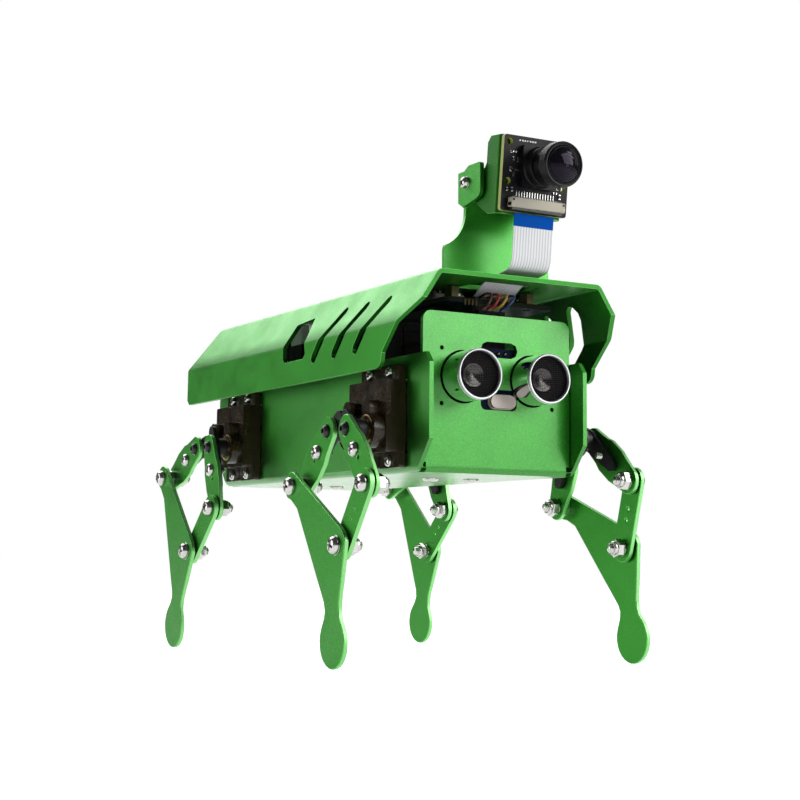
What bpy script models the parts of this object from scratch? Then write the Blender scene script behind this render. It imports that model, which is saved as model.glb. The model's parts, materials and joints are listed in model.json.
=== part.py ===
"""Four-legged walking robot with a tilting camera head.

Lengths are in millimetres in a build frame: +X is the robot's front, +Y its left,
x = 0 is the front plate's outer face, y = 0 the middle and z = 0 the tray's underside.
The finished meshes are in metres with the origin on the floor under the middle of the box.
"""
import math

import bmesh
import bpy
from mathutils import Matrix, Vector

MM = 0.001
GAP = 0.3
X_MID = -63.1
GROUND = 60.2

SHEET = 1.5
BEND = 0.7

# chassis tray
TRAY_HALF = 29.6
TRAY_TOP = 36.9
TRAY_REAR = -146.0
WING = 7.2
FRONT_TOP = 50.7
FRONT_HALF = 27.8
# rounded top corners of the front plate: offsets from its sharp corner, outside the arc
PLATE_CORNER = ((1.0, -2.7), (0.0, -2.7), (-0.35, -1.4), (-1.4, -0.35), (-2.7, 0.0), (-2.7, 1.0), (1.0, 1.0))
# half the width of the flat camera cable
CABLE_HALF = 7.4
EYE_Y = 13.0
EYE_Z = 30.4
EYE_HOLE = 8.5
BOARD_HOLE_Y = 20.9
BOARD_HOLE_Z = 8.74

# top cover
ROOF_Z = 61.6
ROOF_HALF = 30.2
FACET_Y = 40.8
FACET_Z = 45.4
FLANGE_Z = 31.8
COVER_FRONT = 13.9
COVER_REAR = -160.0
# side, forward shift and slot widths, rear to front, of each flank
SLOTS = ((-1, 0.0, (3.4, 3.4, 3.4)), (1, 4.0, (3.4, 3.4, 6.0)))

# head
HEAD_Y = 3.8
HINGE_X = -2.8
HINGE_Z = 93.5
TILT = math.radians(6.45)
NECK_X = -6.3
LUG_HALF = 14.2
BRACKET_HALF = 12.4
FACE_N = 16.6
CAM_U = (-9.7, 14.3)
CAM_N = (16.9, 18.5)
LENS_U = 4.8

# servos and legs, distances from the middle plane are along y
SHAFT_X = {"front": (-25.4, -12.8), "rear": (-133.2, -120.6)}
SHAFT_Z = 13.2
SERVO_Z = 17.7
SERVO_HALF = (6.1, 11.4)
EAR_HALF = 16.2
EAR_Y = (29.9, 32.4)
CASE_Y = (14.0, 36.9)
TURRET_Y = 40.9
HORN_Y = (41.3, 44.7, 46.2)
CRANK_Y = (46.5, 48.0)
LINK_Y = (48.6, 50.1)
LEG_Y = (50.7, 52.2)
CRANK = 23.6
LINK = 22.8
SHIN = 37.0
FOOT = (28.6, -49.0)
FOOT_R = 8.1
FOOT_LOW = -52.1
SHIN_TURN = math.atan2(-19.6, 31.2)
PIN = 1.5
PIVOT = 1.8
OPEN_PIVOT = 2.45
FRONT_CRANK = {"front_right": -47.4, "rear_right": -71.3, "front_left": -36.4, "rear_left": -64.4}

GREEN = ("green_sheet", (0.05, 0.42, 0.06), 0.9, 0.35)
SMOKE = ("servo_case", (0.06, 0.035, 0.025), 0.0, 0.3)
BLACK = ("black_plastic", (0.02, 0.02, 0.02), 0.0, 0.45)
STEEL = ("steel", (0.6, 0.6, 0.6), 1.0, 0.25)
SILVER = ("silver_can", (0.75, 0.75, 0.77), 1.0, 0.2)
BOARD = ("circuit_board", (0.01, 0.02, 0.05), 0.0, 0.4)
DARK_BOARD = ("camera_board", (0.012, 0.012, 0.012), 0.0, 0.4)
CREAM = ("cream_plastic", (0.8, 0.75, 0.62), 0.0, 0.45)
CABLE = ("cable", (0.8, 0.8, 0.82), 0.0, 0.5)
LENS = ("lens_body", (0.015, 0.015, 0.015), 0.0, 0.3)
CELLS = ("battery", (0.03, 0.1, 0.35), 0.0, 0.5)
BRASS = ("brass", (0.75, 0.55, 0.25), 1.0, 0.3)


# ---------------------------------------------------------------- scene helpers

def clear_scene():
    for ob in list(bpy.data.objects):
        bpy.data.objects.remove(ob, do_unlink=True)


def collection(name, hidden=False):
    col = bpy.data.collections.new(name)
    bpy.context.scene.collection.children.link(col)
    col.hide_render = hidden
    return col


def material(spec):
    name, colour, metallic, roughness = spec
    mat = bpy.data.materials.get(name)
    if mat is None:
        mat = bpy.data.materials.new(name)
        mat.use_nodes = True
        shader = mat.node_tree.nodes["Principled BSDF"]
        shader.inputs["Base Color"].default_value = (*colour, 1.0)
        shader.inputs["Metallic"].default_value = metallic
        shader.inputs["Roughness"].default_value = roughness
    return mat


def to_world(point):
    x, y, z = point
    return Vector(((x - X_MID) * MM, y * MM, (z + GROUND) * MM))


def place(bm, name, spec, origin=(X_MID, 0.0, -GROUND), col=None):
    """Store a build-frame bmesh as an object whose origin is the given build-frame point."""
    base = to_world(origin)
    for vert in bm.verts:
        vert.co = to_world(vert.co) - base
    mesh = bpy.data.meshes.new(name)
    bmesh.ops.recalc_face_normals(bm, faces=bm.faces[:])
    bm.to_mesh(mesh)
    bm.free()
    ob = bpy.data.objects.new(name, mesh)
    ob.location = base
    mesh.materials.append(material(spec))
    (col or PARTS).objects.link(ob)
    return ob


def boolean(ob, bm, operation, label):
    """Add an exact Boolean against a cutter made from the bmesh."""
    cutter = place(bm, ob.name + "_" + label, GREEN, col=CUTTERS)
    cutter.hide_render = True
    cutter.display_type = "WIRE"
    mod = ob.modifiers.new(label, "BOOLEAN")
    mod.operation = operation
    mod.solver = "EXACT"
    mod.object = cutter
    return mod


def merge(*meshes):
    """Join separate closed bmeshes into one bmesh."""
    out = bmesh.new()
    for bm in meshes:
        mesh = bpy.data.meshes.new("tmp")
        bmesh.ops.recalc_face_normals(bm, faces=bm.faces[:])
        bm.to_mesh(mesh)
        bm.free()
        out.from_mesh(mesh)
        bpy.data.meshes.remove(mesh)
    return out


# ---------------------------------------------------------------- shape helpers

def arc(cx, cy, radius, start, end, steps):
    """Points on an arc, angles in degrees, both ends included."""
    points = []
    for i in range(steps + 1):
        a = math.radians(start + (end - start) * i / steps)
        points.append((cx + radius * math.cos(a), cy + radius * math.sin(a)))
    return points


def ring(cx, cy, radius, steps=16):
    return arc(cx, cy, radius, 0.0, 360.0, steps)[:-1]


def rounded_box(x0, y0, x1, y1, radius, steps=3):
    points = []
    corners = ((x1, y1, 0), (x0, y1, 90), (x0, y0, 180), (x1, y0, 270))
    for x, y, turn in corners:
        cx = x - radius if x == x1 else x + radius
        cy = y - radius if y == y1 else y + radius
        points += arc(cx, cy, radius, turn, turn + 90, steps)
    return points


def at_depth(point, depth, axis):
    a, b = point
    if axis == "x":
        return (depth, a, b)
    if axis == "y":
        return (a, depth, b)
    return (a, b, depth)


def prism(outline, lo, hi, axis, holes=()):
    """A flat plate with the outline and holes, between two depths along an axis."""
    bm = bmesh.new()
    edges = []
    for loop in [outline, *holes]:
        verts = [bm.verts.new(at_depth(p, lo, axis)) for p in loop]
        for i, vert in enumerate(verts):
            edges.append(bm.edges.new((verts[i - 1], vert)))
    bmesh.ops.triangle_fill(bm, use_beauty=True, edges=edges)
    out = bmesh.ops.extrude_face_region(bm, geom=bm.faces[:])
    moved = [v for v in out["geom"] if isinstance(v, bmesh.types.BMVert)]
    shift = Vector(at_depth((0.0, 0.0), hi - lo, axis))
    bmesh.ops.translate(bm, verts=moved, vec=shift)
    return bm


def box(lo, hi):
    bm = bmesh.new()
    size = Vector(hi) - Vector(lo)
    centre = (Vector(hi) + Vector(lo)) / 2
    bmesh.ops.create_cube(bm, size=1.0, matrix=Matrix.Translation(centre) @ Matrix.Diagonal((*size, 1.0)))
    return bm


def lathe(profile, centre, axis, steps=12, sign=1.0):
    """Turn (radius, distance[, hex]) stations about an axis; hex stations are six-sided."""
    bm = bmesh.new()
    rings = []
    for station in profile:
        radius, along = station[0], station[1]
        is_hex = len(station) > 2
        if radius == 0.0:
            rings.append([bm.verts.new(lathe_point(centre, axis, 0, 0, sign * along))])
            continue
        loop = []
        for i in range(steps):
            a = 2 * math.pi * i / steps
            r = radius
            if is_hex:
                r = radius / math.cos((a + math.pi / 6) % (math.pi / 3) - math.pi / 6)
            p = lathe_point(centre, axis, r * math.cos(a), r * math.sin(a), sign * along)
            loop.append(bm.verts.new(p))
        rings.append(loop)
    for low, high in zip(rings, rings[1:]):
        for i in range(steps):
            j = (i + 1) % steps
            quad = [low[i % len(low)], low[j % len(low)], high[j % len(high)], high[i % len(high)]]
            bm.faces.new(list(dict.fromkeys(quad)))
    for end in (rings[0], rings[-1]):
        if len(end) > 1:
            bm.faces.new(end)
    bmesh.ops.recalc_face_normals(bm, faces=bm.faces[:])
    return bm


def lathe_point(centre, axis, a, b, along):
    x, y, z = centre
    if axis == "x":
        return (x + along, y + a, z + b)
    if axis == "y":
        return (x + a, y + along, z + b)
    return (x + a, y + b, z + along)


def sheet_outline(path, thickness=SHEET, inner=BEND, steps=4):
    """Outline of a bent sheet from its outer corner points; the inside is on the right."""
    pts = [Vector(p) for p in path]
    half = thickness / 2
    mid = []
    for i, p in enumerate(pts):
        before = (p - pts[i - 1]).normalized() if i else None
        after = (pts[i + 1] - p).normalized() if i + 1 < len(pts) else None
        before, after = before or after, after or before
        n0, n1 = Vector((before.y, -before.x)), Vector((after.y, -after.x))
        mid.append(p + (n0 + n1) * half / (1 + n0.dot(n1)))
    centre = [(mid[0], normal(mid[0], mid[1]))]
    for i in range(1, len(mid) - 1):
        centre += fillet(mid[i - 1], mid[i], mid[i + 1], inner + half, steps)
    centre.append((mid[-1], normal(mid[-2], mid[-1])))
    outer = [tuple(p - n * half) for p, n in centre]
    inside = [tuple(p + n * half) for p, n in centre]
    return outer + inside[::-1]


def normal(a, b):
    d = (b - a).normalized()
    return Vector((d.y, -d.x))


def fillet(a, b, c, radius, steps):
    """Points and right-hand normals of the arc that rounds corner b."""
    d0, d1 = (b - a).normalized(), (c - b).normalized()
    turn = math.atan2(d0.x * d1.y - d0.y * d1.x, d0.dot(d1))
    reach = radius * math.tan(abs(turn) / 2)
    start = b - d0 * reach
    side = 1.0 if turn > 0 else -1.0
    n0 = Vector((d0.y, -d0.x))
    hub = start - n0 * radius * side
    out = []
    for i in range(steps + 1):
        a = turn * i / steps
        n = Vector((n0.x * math.cos(a) - n0.y * math.sin(a), n0.x * math.sin(a) + n0.y * math.cos(a)))
        out.append((hub + n * radius * side, n))
    return out


def stroke(points, width, steps=4):
    """Outline of a round-ended slot that follows a few points."""
    pts = [Vector(p) for p in points]
    half = width / 2
    left, right = [], []
    for i, p in enumerate(pts):
        before = normal(pts[i - 1], p) if i else normal(p, pts[1])
        after = normal(p, pts[i + 1]) if i + 1 < len(pts) else before
        n = (before + after) * half / (1 + before.dot(after))
        left.append(tuple(p - n))
        right.append(tuple(p + n))
    head = math.degrees(math.atan2(*(pts[-1] - pts[-2]).yx))
    tail = math.degrees(math.atan2(*(pts[0] - pts[1]).yx))
    end = arc(*pts[-1], half, head + 90, head - 90, steps)
    start = arc(*pts[0], half, tail + 90, tail - 90, steps)
    return left[1:-1] + end + right[-2:0:-1] + start


# ---------------------------------------------------------------- chassis

def wall_profile(top, edge):
    """Side outline of a front or rear wall with its bent foot, pointing +X."""
    return sheet_outline([(edge, top), (edge, 0.0), (edge - 9.0, 0.0)])


def chassis_tray():
    channel = sheet_outline([(TRAY_HALF, 40.0), (TRAY_HALF, 0.0), (-TRAY_HALF, 0.0), (-TRAY_HALF, 40.0)])
    ob = place(prism(channel, TRAY_REAR - 9.0, 9.0, "x"), "chassis_tray", GREEN)
    front = [(-0.9, -1.0), (0.0, 0.8), (WING, 10.0), (WING, 33.6), (WING - 2.6, TRAY_TOP)]
    rear = [(TRAY_REAR - x, z) for x, z in reversed(front)]
    boolean(ob, prism(front + rear, -35.0, 35.0, "y"), "INTERSECT", "side_shape")
    boolean(ob, prism(wall_profile(FRONT_TOP, 0.0), -FRONT_HALF, FRONT_HALF, "y"), "UNION", "front_wall")
    back = [(TRAY_REAR - x, z) for x, z in wall_profile(TRAY_TOP, 0.0)]
    boolean(ob, prism(back, -FRONT_HALF, FRONT_HALF, "y"), "UNION", "rear_wall")
    boolean(ob, tray_cuts(), "DIFFERENCE", "openings")
    window = prism(rounded_box(-6.4, 20.4, 7.2, 27.0, 1.6), -3.5, 2.5, "x")
    boolean(ob, window, "DIFFERENCE", "crystal_window")
    return ob


def tray_cuts():
    cuts = []
    for side in (-1, 1):
        cuts.append(prism(ring(side * EYE_Y, EYE_Z, EYE_HOLE, 32), -3.0, 2.0, "x"))
        for up in (-1, 1):
            hole = ring(side * BOARD_HOLE_Y, EYE_Z + up * BOARD_HOLE_Z, 0.75, 10)
            cuts.append(prism(hole, -3.0, 2.0, "x"))
        corner = [(side * (FRONT_HALF + y), FRONT_TOP + z) for y, z in PLATE_CORNER]
        cuts.append(prism(corner, -3.0, 2.0, "x"))
        for edge, turn in ((0.0, 1), (TRAY_REAR, -1)):
            xs = sorted((edge - 2.4 * turn, edge + 0.4 * turn))
            ys = sorted((side * 26.4, side * 28.3))
            cuts.append(box((xs[0], ys[0], -0.6), (xs[1], ys[1], 3.2)))
        for name in ("front", "rear"):
            rear_x, front_x = SHAFT_X[name]
            lo_z, hi_z = SERVO_Z - SERVO_HALF[1] - 0.4, SERVO_Z + SERVO_HALF[1] + 0.4
            ys = sorted((side * 25.0, side * 31.0))
            lo = (rear_x - SERVO_HALF[0] - 0.4, ys[0], lo_z)
            hi = (front_x + SERVO_HALF[0] + 0.4, ys[1], hi_z)
            cuts.append(box(lo, hi))
    cuts.append(prism(stroke([(-4.0, 39.7), (5.0, 39.7)], 5.0), -3.0, 2.0, "x"))
    return merge(*cuts)


def cover_ends():
    """Side outline of the cover: straight nose, then the cut-back lower corner."""
    nose = [(COVER_FRONT, 70.0), (COVER_FRONT, 52.2), (5.7, FACET_Z), (-3.2, 36.6)]
    nose += arc(-6.9, 35.3, 3.5, -15, -90, 4)
    tail = [(-157.6, FLANGE_Z), (-159.5, 33.6), (-159.3, FACET_Z), (-151.2, ROOF_Z), (-151.2, 70.0)]
    return nose + tail


def cover_slots(shift, widths):
    """Side outlines of one flank's window and three slanted slots, moved forward by the shift."""
    window = [(-73.4, 53.6), (-61.2, 54.8), (-57.6, 47.0), (-56.6, 41.6), (-58.2, 40.0), (-72.6, 40.0)]
    window.append((-73.8, 41.4))
    bends = [[(x, 54.0), (x - 5.8, FACET_Z), (x - 11.6, 39.4)] for x in (-38.6, -23.8, -9.2)]
    slots = [stroke(bend, width) for bend, width in zip(bends, widths)]
    return [[(x + shift, z) for x, z in outline] for outline in (window, *slots)]


def top_cover():
    path = [(-FACET_Y, 30.0), (-FACET_Y, FACET_Z), (-ROOF_HALF, ROOF_Z)]
    path += [(-y, z) for y, z in reversed(path)]
    shell = sheet_outline(path, inner=1.0)
    ob = place(prism(shell, COVER_REAR - 3.0, COVER_FRONT + 2.0, "x"), "top_cover", GREEN)
    boolean(ob, prism(cover_ends(), -50.0, 50.0, "y"), "INTERSECT", "side_shape")
    cuts = []
    for side, shift, widths in SLOTS:
        ys = sorted((side * 30.8, side * 45.0))
        cuts += [prism(outline, ys[0], ys[1], "y") for outline in cover_slots(shift, widths)]
    cable_slot = rounded_box(-7.9, -10.6, 6.4, 12.3, 1.2)
    cuts.append(prism(cable_slot, ROOF_Z - 4.0, ROOF_Z + 2.0, "z"))
    for x, y in roof_holes():
        cuts.append(prism(ring(x, y, 1.4, 12), ROOF_Z - 4.0, ROOF_Z + 2.0, "z"))
    boolean(ob, merge(*cuts), "DIFFERENCE", "openings")
    return ob


def roof_holes():
    holes = [(x, side * 14.4) for x in (-5.0, -63.0) for side in (-1, 1)]
    holes += [(-17.0, HEAD_Y + side * 9.0) for side in (-1, 1)]
    return holes


# ---------------------------------------------------------------- head

def lug_outline():
    top = [(-7.4, 97.6), (-4.2, 97.6), (-1.6, 99.0), (4.6, 99.0)]
    front = arc(4.6, 98.1, 0.9, 60, 0, 2) + [(5.5, 90.4)] + arc(2.5, 90.4, 3.0, 0, -75, 3)
    return top + front + [(-4.9, 86.0), (-7.4, 87.7)]


def neck_bracket():
    path = [(NECK_X, 98.6), (NECK_X, ROOF_Z + GAP), (NECK_X - 16.0, ROOF_Z + GAP)]
    ob = place(prism(sheet_outline(path), HEAD_Y - 20.2, HEAD_Y + 20.2, "y"), "neck_bracket", GREEN)
    right = [(20.2, 60.0), (20.2, 71.8)] + arc(24.6, 84.9, 12.5, 248, 180, 8)
    right += [(12.1, 86.4), (LUG_HALF, 87.7), (LUG_HALF, 97.6), (11.0, 97.6), (9.8, 96.0)]
    shape = [(HEAD_Y + y, z) for y, z in right]
    shape += [(HEAD_Y - y, z) for y, z in reversed(right)]
    boolean(ob, prism(shape, -40.0, 10.0, "x"), "INTERSECT", "front_shape")
    hole = ring(HINGE_X, HINGE_Z, 1.3, 14)
    lugs = []
    for side in (-1, 1):
        ys = sorted((HEAD_Y + side * (LUG_HALF - SHEET), HEAD_Y + side * LUG_HALF))
        lugs.append(prism(lug_outline(), ys[0], ys[1], "y", [hole]))
    boolean(ob, merge(*lugs), "UNION", "lugs")
    holes = [prism(ring(-17.0, HEAD_Y + side * 9.0, 1.4, 12), 60.0, 66.0, "z") for side in (-1, 1)]
    boolean(ob, merge(*holes), "DIFFERENCE", "holes")
    return ob


def tilted(bm):
    """Turn camera parts drawn as (forward, y, up) from the hinge into the rest tilt."""
    for vert in bm.verts:
        n, y, u = vert.co
        x = HINGE_X + n * math.cos(TILT) + u * math.sin(TILT)
        z = HINGE_Z - n * math.sin(TILT) + u * math.cos(TILT)
        vert.co = (x, HEAD_Y + y, z)
    return bm


def camera_bracket():
    path = [(-BRACKET_HALF, -3.2), (-BRACKET_HALF, FACE_N), (BRACKET_HALF, FACE_N), (BRACKET_HALF, -3.2)]
    channel = [(n, y) for y, n in sheet_outline(path)]
    ob = place(tilted(prism(channel, -11.0, 15.0, "z")), "camera_bracket", GREEN, HINGE)
    side = arc(0.0, 0.0, 3.1, 215, 95, 7) + [(7.6, 4.6), (8.6, 6.0), (8.6, 12.6), (10.4, 14.6)]
    side += [(20.0, 14.6), (20.0, -10.5), (11.0, -10.5), (5.0, -7.4)]
    boolean(ob, tilted(prism(side, -20.0, 20.0, "y")), "INTERSECT", "side_shape")
    boolean(ob, tilted(prism(ring(0.0, 0.0, 1.3, 14), -20.0, 20.0, "y")), "DIFFERENCE", "hinge_hole")
    return ob


def camera_board():
    outline = rounded_box(-12.5, CAM_U[0], 12.5, CAM_U[1], 0.8, 2)
    holes = [ring(y, u, 1.1, 12) for y in (-10.4, 10.4) for u in (CAM_U[1] - 2.1, CAM_U[1] - 14.6)]
    return place(tilted(prism(outline, *CAM_N, "x", holes)), "camera_board", DARK_BOARD, HINGE)


def camera_lens():
    profile = [(6.9, 0.3), (6.9, 2.6), (6.3, 3.2), (6.2, 6.2), (5.4, 6.8), (5.4, 10.4), (6.9, 11.4)]
    profile += [(7.15, 15.2), (6.8, 16.2), (5.2, 16.4), (4.3, 15.4), (3.9, 16.0), (2.3, 16.9), (0.0, 17.3)]
    bm = lathe(profile, (CAM_N[1], 0.0, LENS_U), "x", 24)
    return place(tilted(bm), "camera_lens", LENS, HINGE)


def camera_connector():
    outline = [(CAM_N[1] + GAP, -9.3), (21.0, -9.3), (21.4, -8.6), (21.4, -5.4), (21.0, -4.9)]
    outline.append((CAM_N[1] + GAP, -4.9))
    return place(tilted(prism(outline, -10.3, 10.3, "y")), "camera_connector", CREAM, HINGE)


def tilt_bolt():
    profile = [(0.0, 16.3), (1.2, 16.1), (1.9, 15.4), (1.9, 14.6), (1.0, 14.6), (1.0, -14.6)]
    profile += [(2.0, -14.6, 6), (2.0, -16.2, 6), (1.0, -16.2), (1.0, -16.8)]
    return place(lathe(profile, (HINGE_X, HEAD_Y, HINGE_Z), "y", 12, -1.0), "tilt_bolt", STEEL)


def camera_cable():
    path = [(15.0, 81.3), (13.6, 67.0), (11.9, 63.9), (-3.0, 61.6), (-10.4, 57.0), (-13.6, 57.0)]
    outline = sheet_outline(path, thickness=0.3, inner=2.2, steps=5)
    return place(prism(outline, HEAD_Y - CABLE_HALF, HEAD_Y + CABLE_HALF, "y"), "camera_cable", CABLE)


# ---------------------------------------------------------------- electronics

def ultrasonic_board():
    holes = [ring(y, EYE_Z + z, 0.75, 10) for y in (-BOARD_HOLE_Y, BOARD_HOLE_Y)
             for z in (-BOARD_HOLE_Z, BOARD_HOLE_Z)]
    outline = rounded_box(-22.5, EYE_Z - 10.0, 22.5, EYE_Z + 10.0, 0.6, 1)
    return place(prism(outline, -3.4, -1.8, "x", holes), "ultrasonic_board", BOARD)


def transducer(name, side):
    profile = [(8.05, -1.5), (8.05, 10.0), (7.75, 10.5), (6.9, 10.5), (6.6, 10.0), (6.5, 8.4)]
    profile += [(2.2, 7.2), (0.0, 7.2)]
    return place(lathe(profile, (0.0, side * EYE_Y, EYE_Z), "x", 28), name, SILVER)


def main_board():
    outline = rounded_box(-69.0, -18.5, -1.5, 22.5, 2.0, 3)
    ob = place(prism(outline, 54.4, 56.0, "z"), "main_board", BOARD)
    legs = [lathe([(2.2, -0.8, 6), (2.2, 3.8, 6)], (x, y, 56.0), "z", 12)
            for x in (-5.0, -63.0) for y in (-14.4, 14.4)]
    boolean(ob, merge(*legs), "UNION", "standoffs")
    return ob


def board_post(name, y):
    profile = [(2.5, 0.0, 6), (2.5, 52.3, 6)]
    return place(lathe(profile, (-34.6, y, 1.8), "z", 12), name, BRASS)


def battery_pack():
    outline = [(-19.6, 1.8), (19.6, 1.8), (19.6, 9.0)]
    for y in (9.6, -9.6):
        outline += arc(y, 12.4, 9.2, 25, 155, 8)
    outline += [(-19.6, 9.0)]
    return place(prism(outline, -111.7, -38.4, "x"), "battery_pack", CELLS)


# ---------------------------------------------------------------- servos and legs

def servo(name, shaft_x, side):
    """Case and ears as one side profile, then the gear turret and the ear holes."""
    lo, hi = SERVO_Z - SERVO_HALF[1], SERVO_Z + SERVO_HALF[1]
    low_ear, high_ear = SERVO_Z - EAR_HALF, SERVO_Z + EAR_HALF
    profile = [(CASE_Y[0], lo), (EAR_Y[0], lo), (EAR_Y[0], low_ear), (EAR_Y[1], low_ear), (EAR_Y[1], lo)]
    profile += [(CASE_Y[1], lo), (CASE_Y[1], hi), (EAR_Y[1], hi), (EAR_Y[1], high_ear)]
    profile += [(EAR_Y[0], high_ear), (EAR_Y[0], hi), (CASE_Y[0], hi)]
    outline = [(side * y, z) for y, z in profile]
    width = SERVO_HALF[0]
    ob = place(prism(outline, shaft_x - width, shaft_x + width, "x"), name, SMOKE)
    turret = arc(shaft_x, SHAFT_Z, 5.85, 115, 425, 18)
    turret += arc(shaft_x, SHAFT_Z + 7.0, 2.7, -20, 200, 6)
    ys = sorted((side * (CASE_Y[1] - 1.0), side * TURRET_Y))
    boolean(ob, prism(turret, ys[0], ys[1], "y"), "UNION", "turret")
    ys = sorted((side * (EAR_Y[0] - 1.0), side * (EAR_Y[1] + 1.0)))
    holes = [prism(ring(shaft_x, SERVO_Z + up * 14.0, 1.0, 10), *ys, "y") for up in (-1, 1)]
    boolean(ob, merge(*holes), "DIFFERENCE", "ear_holes")
    return ob


def turned(points, angle, centre):
    """Points drawn along +X from a pivot, turned by the angle and moved to the pivot."""
    c, s = math.cos(angle), math.sin(angle)
    return [(centre[0] + x * c - y * s, centre[1] + x * s + y * c) for x, y in points]


def horn_outline():
    points = arc(0.0, 0.0, 3.7, 60, 125, 4) + arc(-6.2, 0.0, 2.0, 100, 260, 5)
    points += arc(0.0, 0.0, 3.7, 235, 300, 4) + arc(14.6, 0.0, 2.0, -80, 80, 5)
    return points


def crank_outline():
    points = arc(0.0, 0.0, 4.6, 110, 250, 8) + [(6.0, -5.2), (8.6, -6.0)]
    points += [(15.0, -6.0), (18.8, -5.2)] + arc(CRANK, 0.0, 4.4, -80, 80, 8)
    points += [(18.8, 5.2), (15.0, 6.0), (8.6, 6.0), (6.0, 5.2)]
    return points


def link_outline():
    return arc(0.0, 0.0, 4.6, 90, 270, 10) + arc(LINK, 0.0, 4.6, -90, 90, 10)


def leg_outline():
    """Leg plate drawn from the knee with the lower pivot at SHIN_TURN."""
    pivot = (SHIN * math.cos(SHIN_TURN), SHIN * math.sin(SHIN_TURN))
    ankle = FOOT[1] + 10.6
    points = arc(0.0, 0.0, 4.6, 50, 232, 10) + [(-0.2, -4.5), (4.2, -7.4)]
    points += [(FOOT[0] - 5.4, ankle + 1.4), (FOOT[0] - 4.6, ankle - 1.2), (FOOT[0] - 5.2, ankle - 3.4)]
    points += arc(*FOOT, FOOT_R, 150, 390, 18)
    points += [(FOOT[0] + 5.0, ankle - 3.4), (FOOT[0] + 4.5, ankle - 1.0), (FOOT[0] + 4.6, ankle + 1.6)]
    points += arc(*pivot, 5.9, 5, 60, 5)
    return points


def bolt(name, x, z, side, head, nut, origin, spacer=None):
    """Pan-head bolt with lock nut; head and nut are the y of their seats, outer first."""
    profile = [(0.0, head + 1.95), (1.9, head + 1.7), (2.9, head + 0.5), (2.9, head)]
    profile.append((PIN, head))
    if spacer:
        profile += [(PIN, spacer[1]), (3.0, spacer[1]), (3.0, spacer[0]), (PIN, spacer[0])]
    profile += [(PIN, nut), (2.75, nut, 6), (2.75, nut - 2.6, 6), (2.2, nut - 3.8), (PIN, nut - 3.8)]
    profile += [(PIN, nut - 4.7), (0.9, nut - 5.0)]
    return place(lathe(profile, (x, 0.0, z), "y", 12, side), name, STEEL, origin)


def circle_meet(a, ra, b, rb):
    """Lower meeting point of two circles."""
    dx, dz = b[0] - a[0], b[1] - a[1]
    dist = math.hypot(dx, dz)
    along = (ra * ra - rb * rb + dist * dist) / (2 * dist)
    drop = math.sqrt(ra * ra - along * along)
    return (a[0] + (dx * along + dz * drop) / dist, a[1] + (dz * along - dx * drop) / dist)


def leg_pose(rear_x, front_x, rear_turn, front_turn):
    """Knee pivots, lower pivot and the turn of the leg plate for two crank angles."""
    rear = (rear_x + CRANK * math.cos(rear_turn), SHAFT_Z + CRANK * math.sin(rear_turn))
    front = (front_x + CRANK * math.cos(front_turn), SHAFT_Z + CRANK * math.sin(front_turn))
    low = circle_meet(rear, SHIN, front, LINK)
    turn = math.atan2(low[1] - rear[1], low[0] - rear[0]) - SHIN_TURN
    foot = turned([FOOT], turn, rear)[0]
    return rear, front, low, turn, foot


def standing_turn(rear_x, front_x, front_turn):
    """Rear crank angle that puts the foot's centre at FOOT_LOW, by halving."""
    lo, hi = math.radians(-175.0), math.radians(-95.0)
    for _ in range(40):
        mid = (lo + hi) / 2
        if leg_pose(rear_x, front_x, mid, front_turn)[4][1] > FOOT_LOW:
            lo = mid
        else:
            hi = mid
    return (lo + hi) / 2


def horn(name, x, turn, side, origin):
    arm = turned(horn_outline(), turn, (x, SHAFT_Z))
    ys = sorted((side * HORN_Y[1], side * HORN_Y[2]))
    ob = place(prism(arm, ys[0], ys[1], "y"), name, BLACK, origin)
    hub = lathe([(3.3, HORN_Y[0]), (3.3, HORN_Y[1] + 0.8)], (x, 0.0, SHAFT_Z), "y", 16, side)
    boolean(ob, hub, "UNION", "hub")
    return ob


def flat(name, outline, holes, ys, side, origin):
    lo, hi = sorted((side * ys[0], side * ys[1]))
    return place(prism(outline, lo, hi, "y", holes), name, GREEN, origin)


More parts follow.
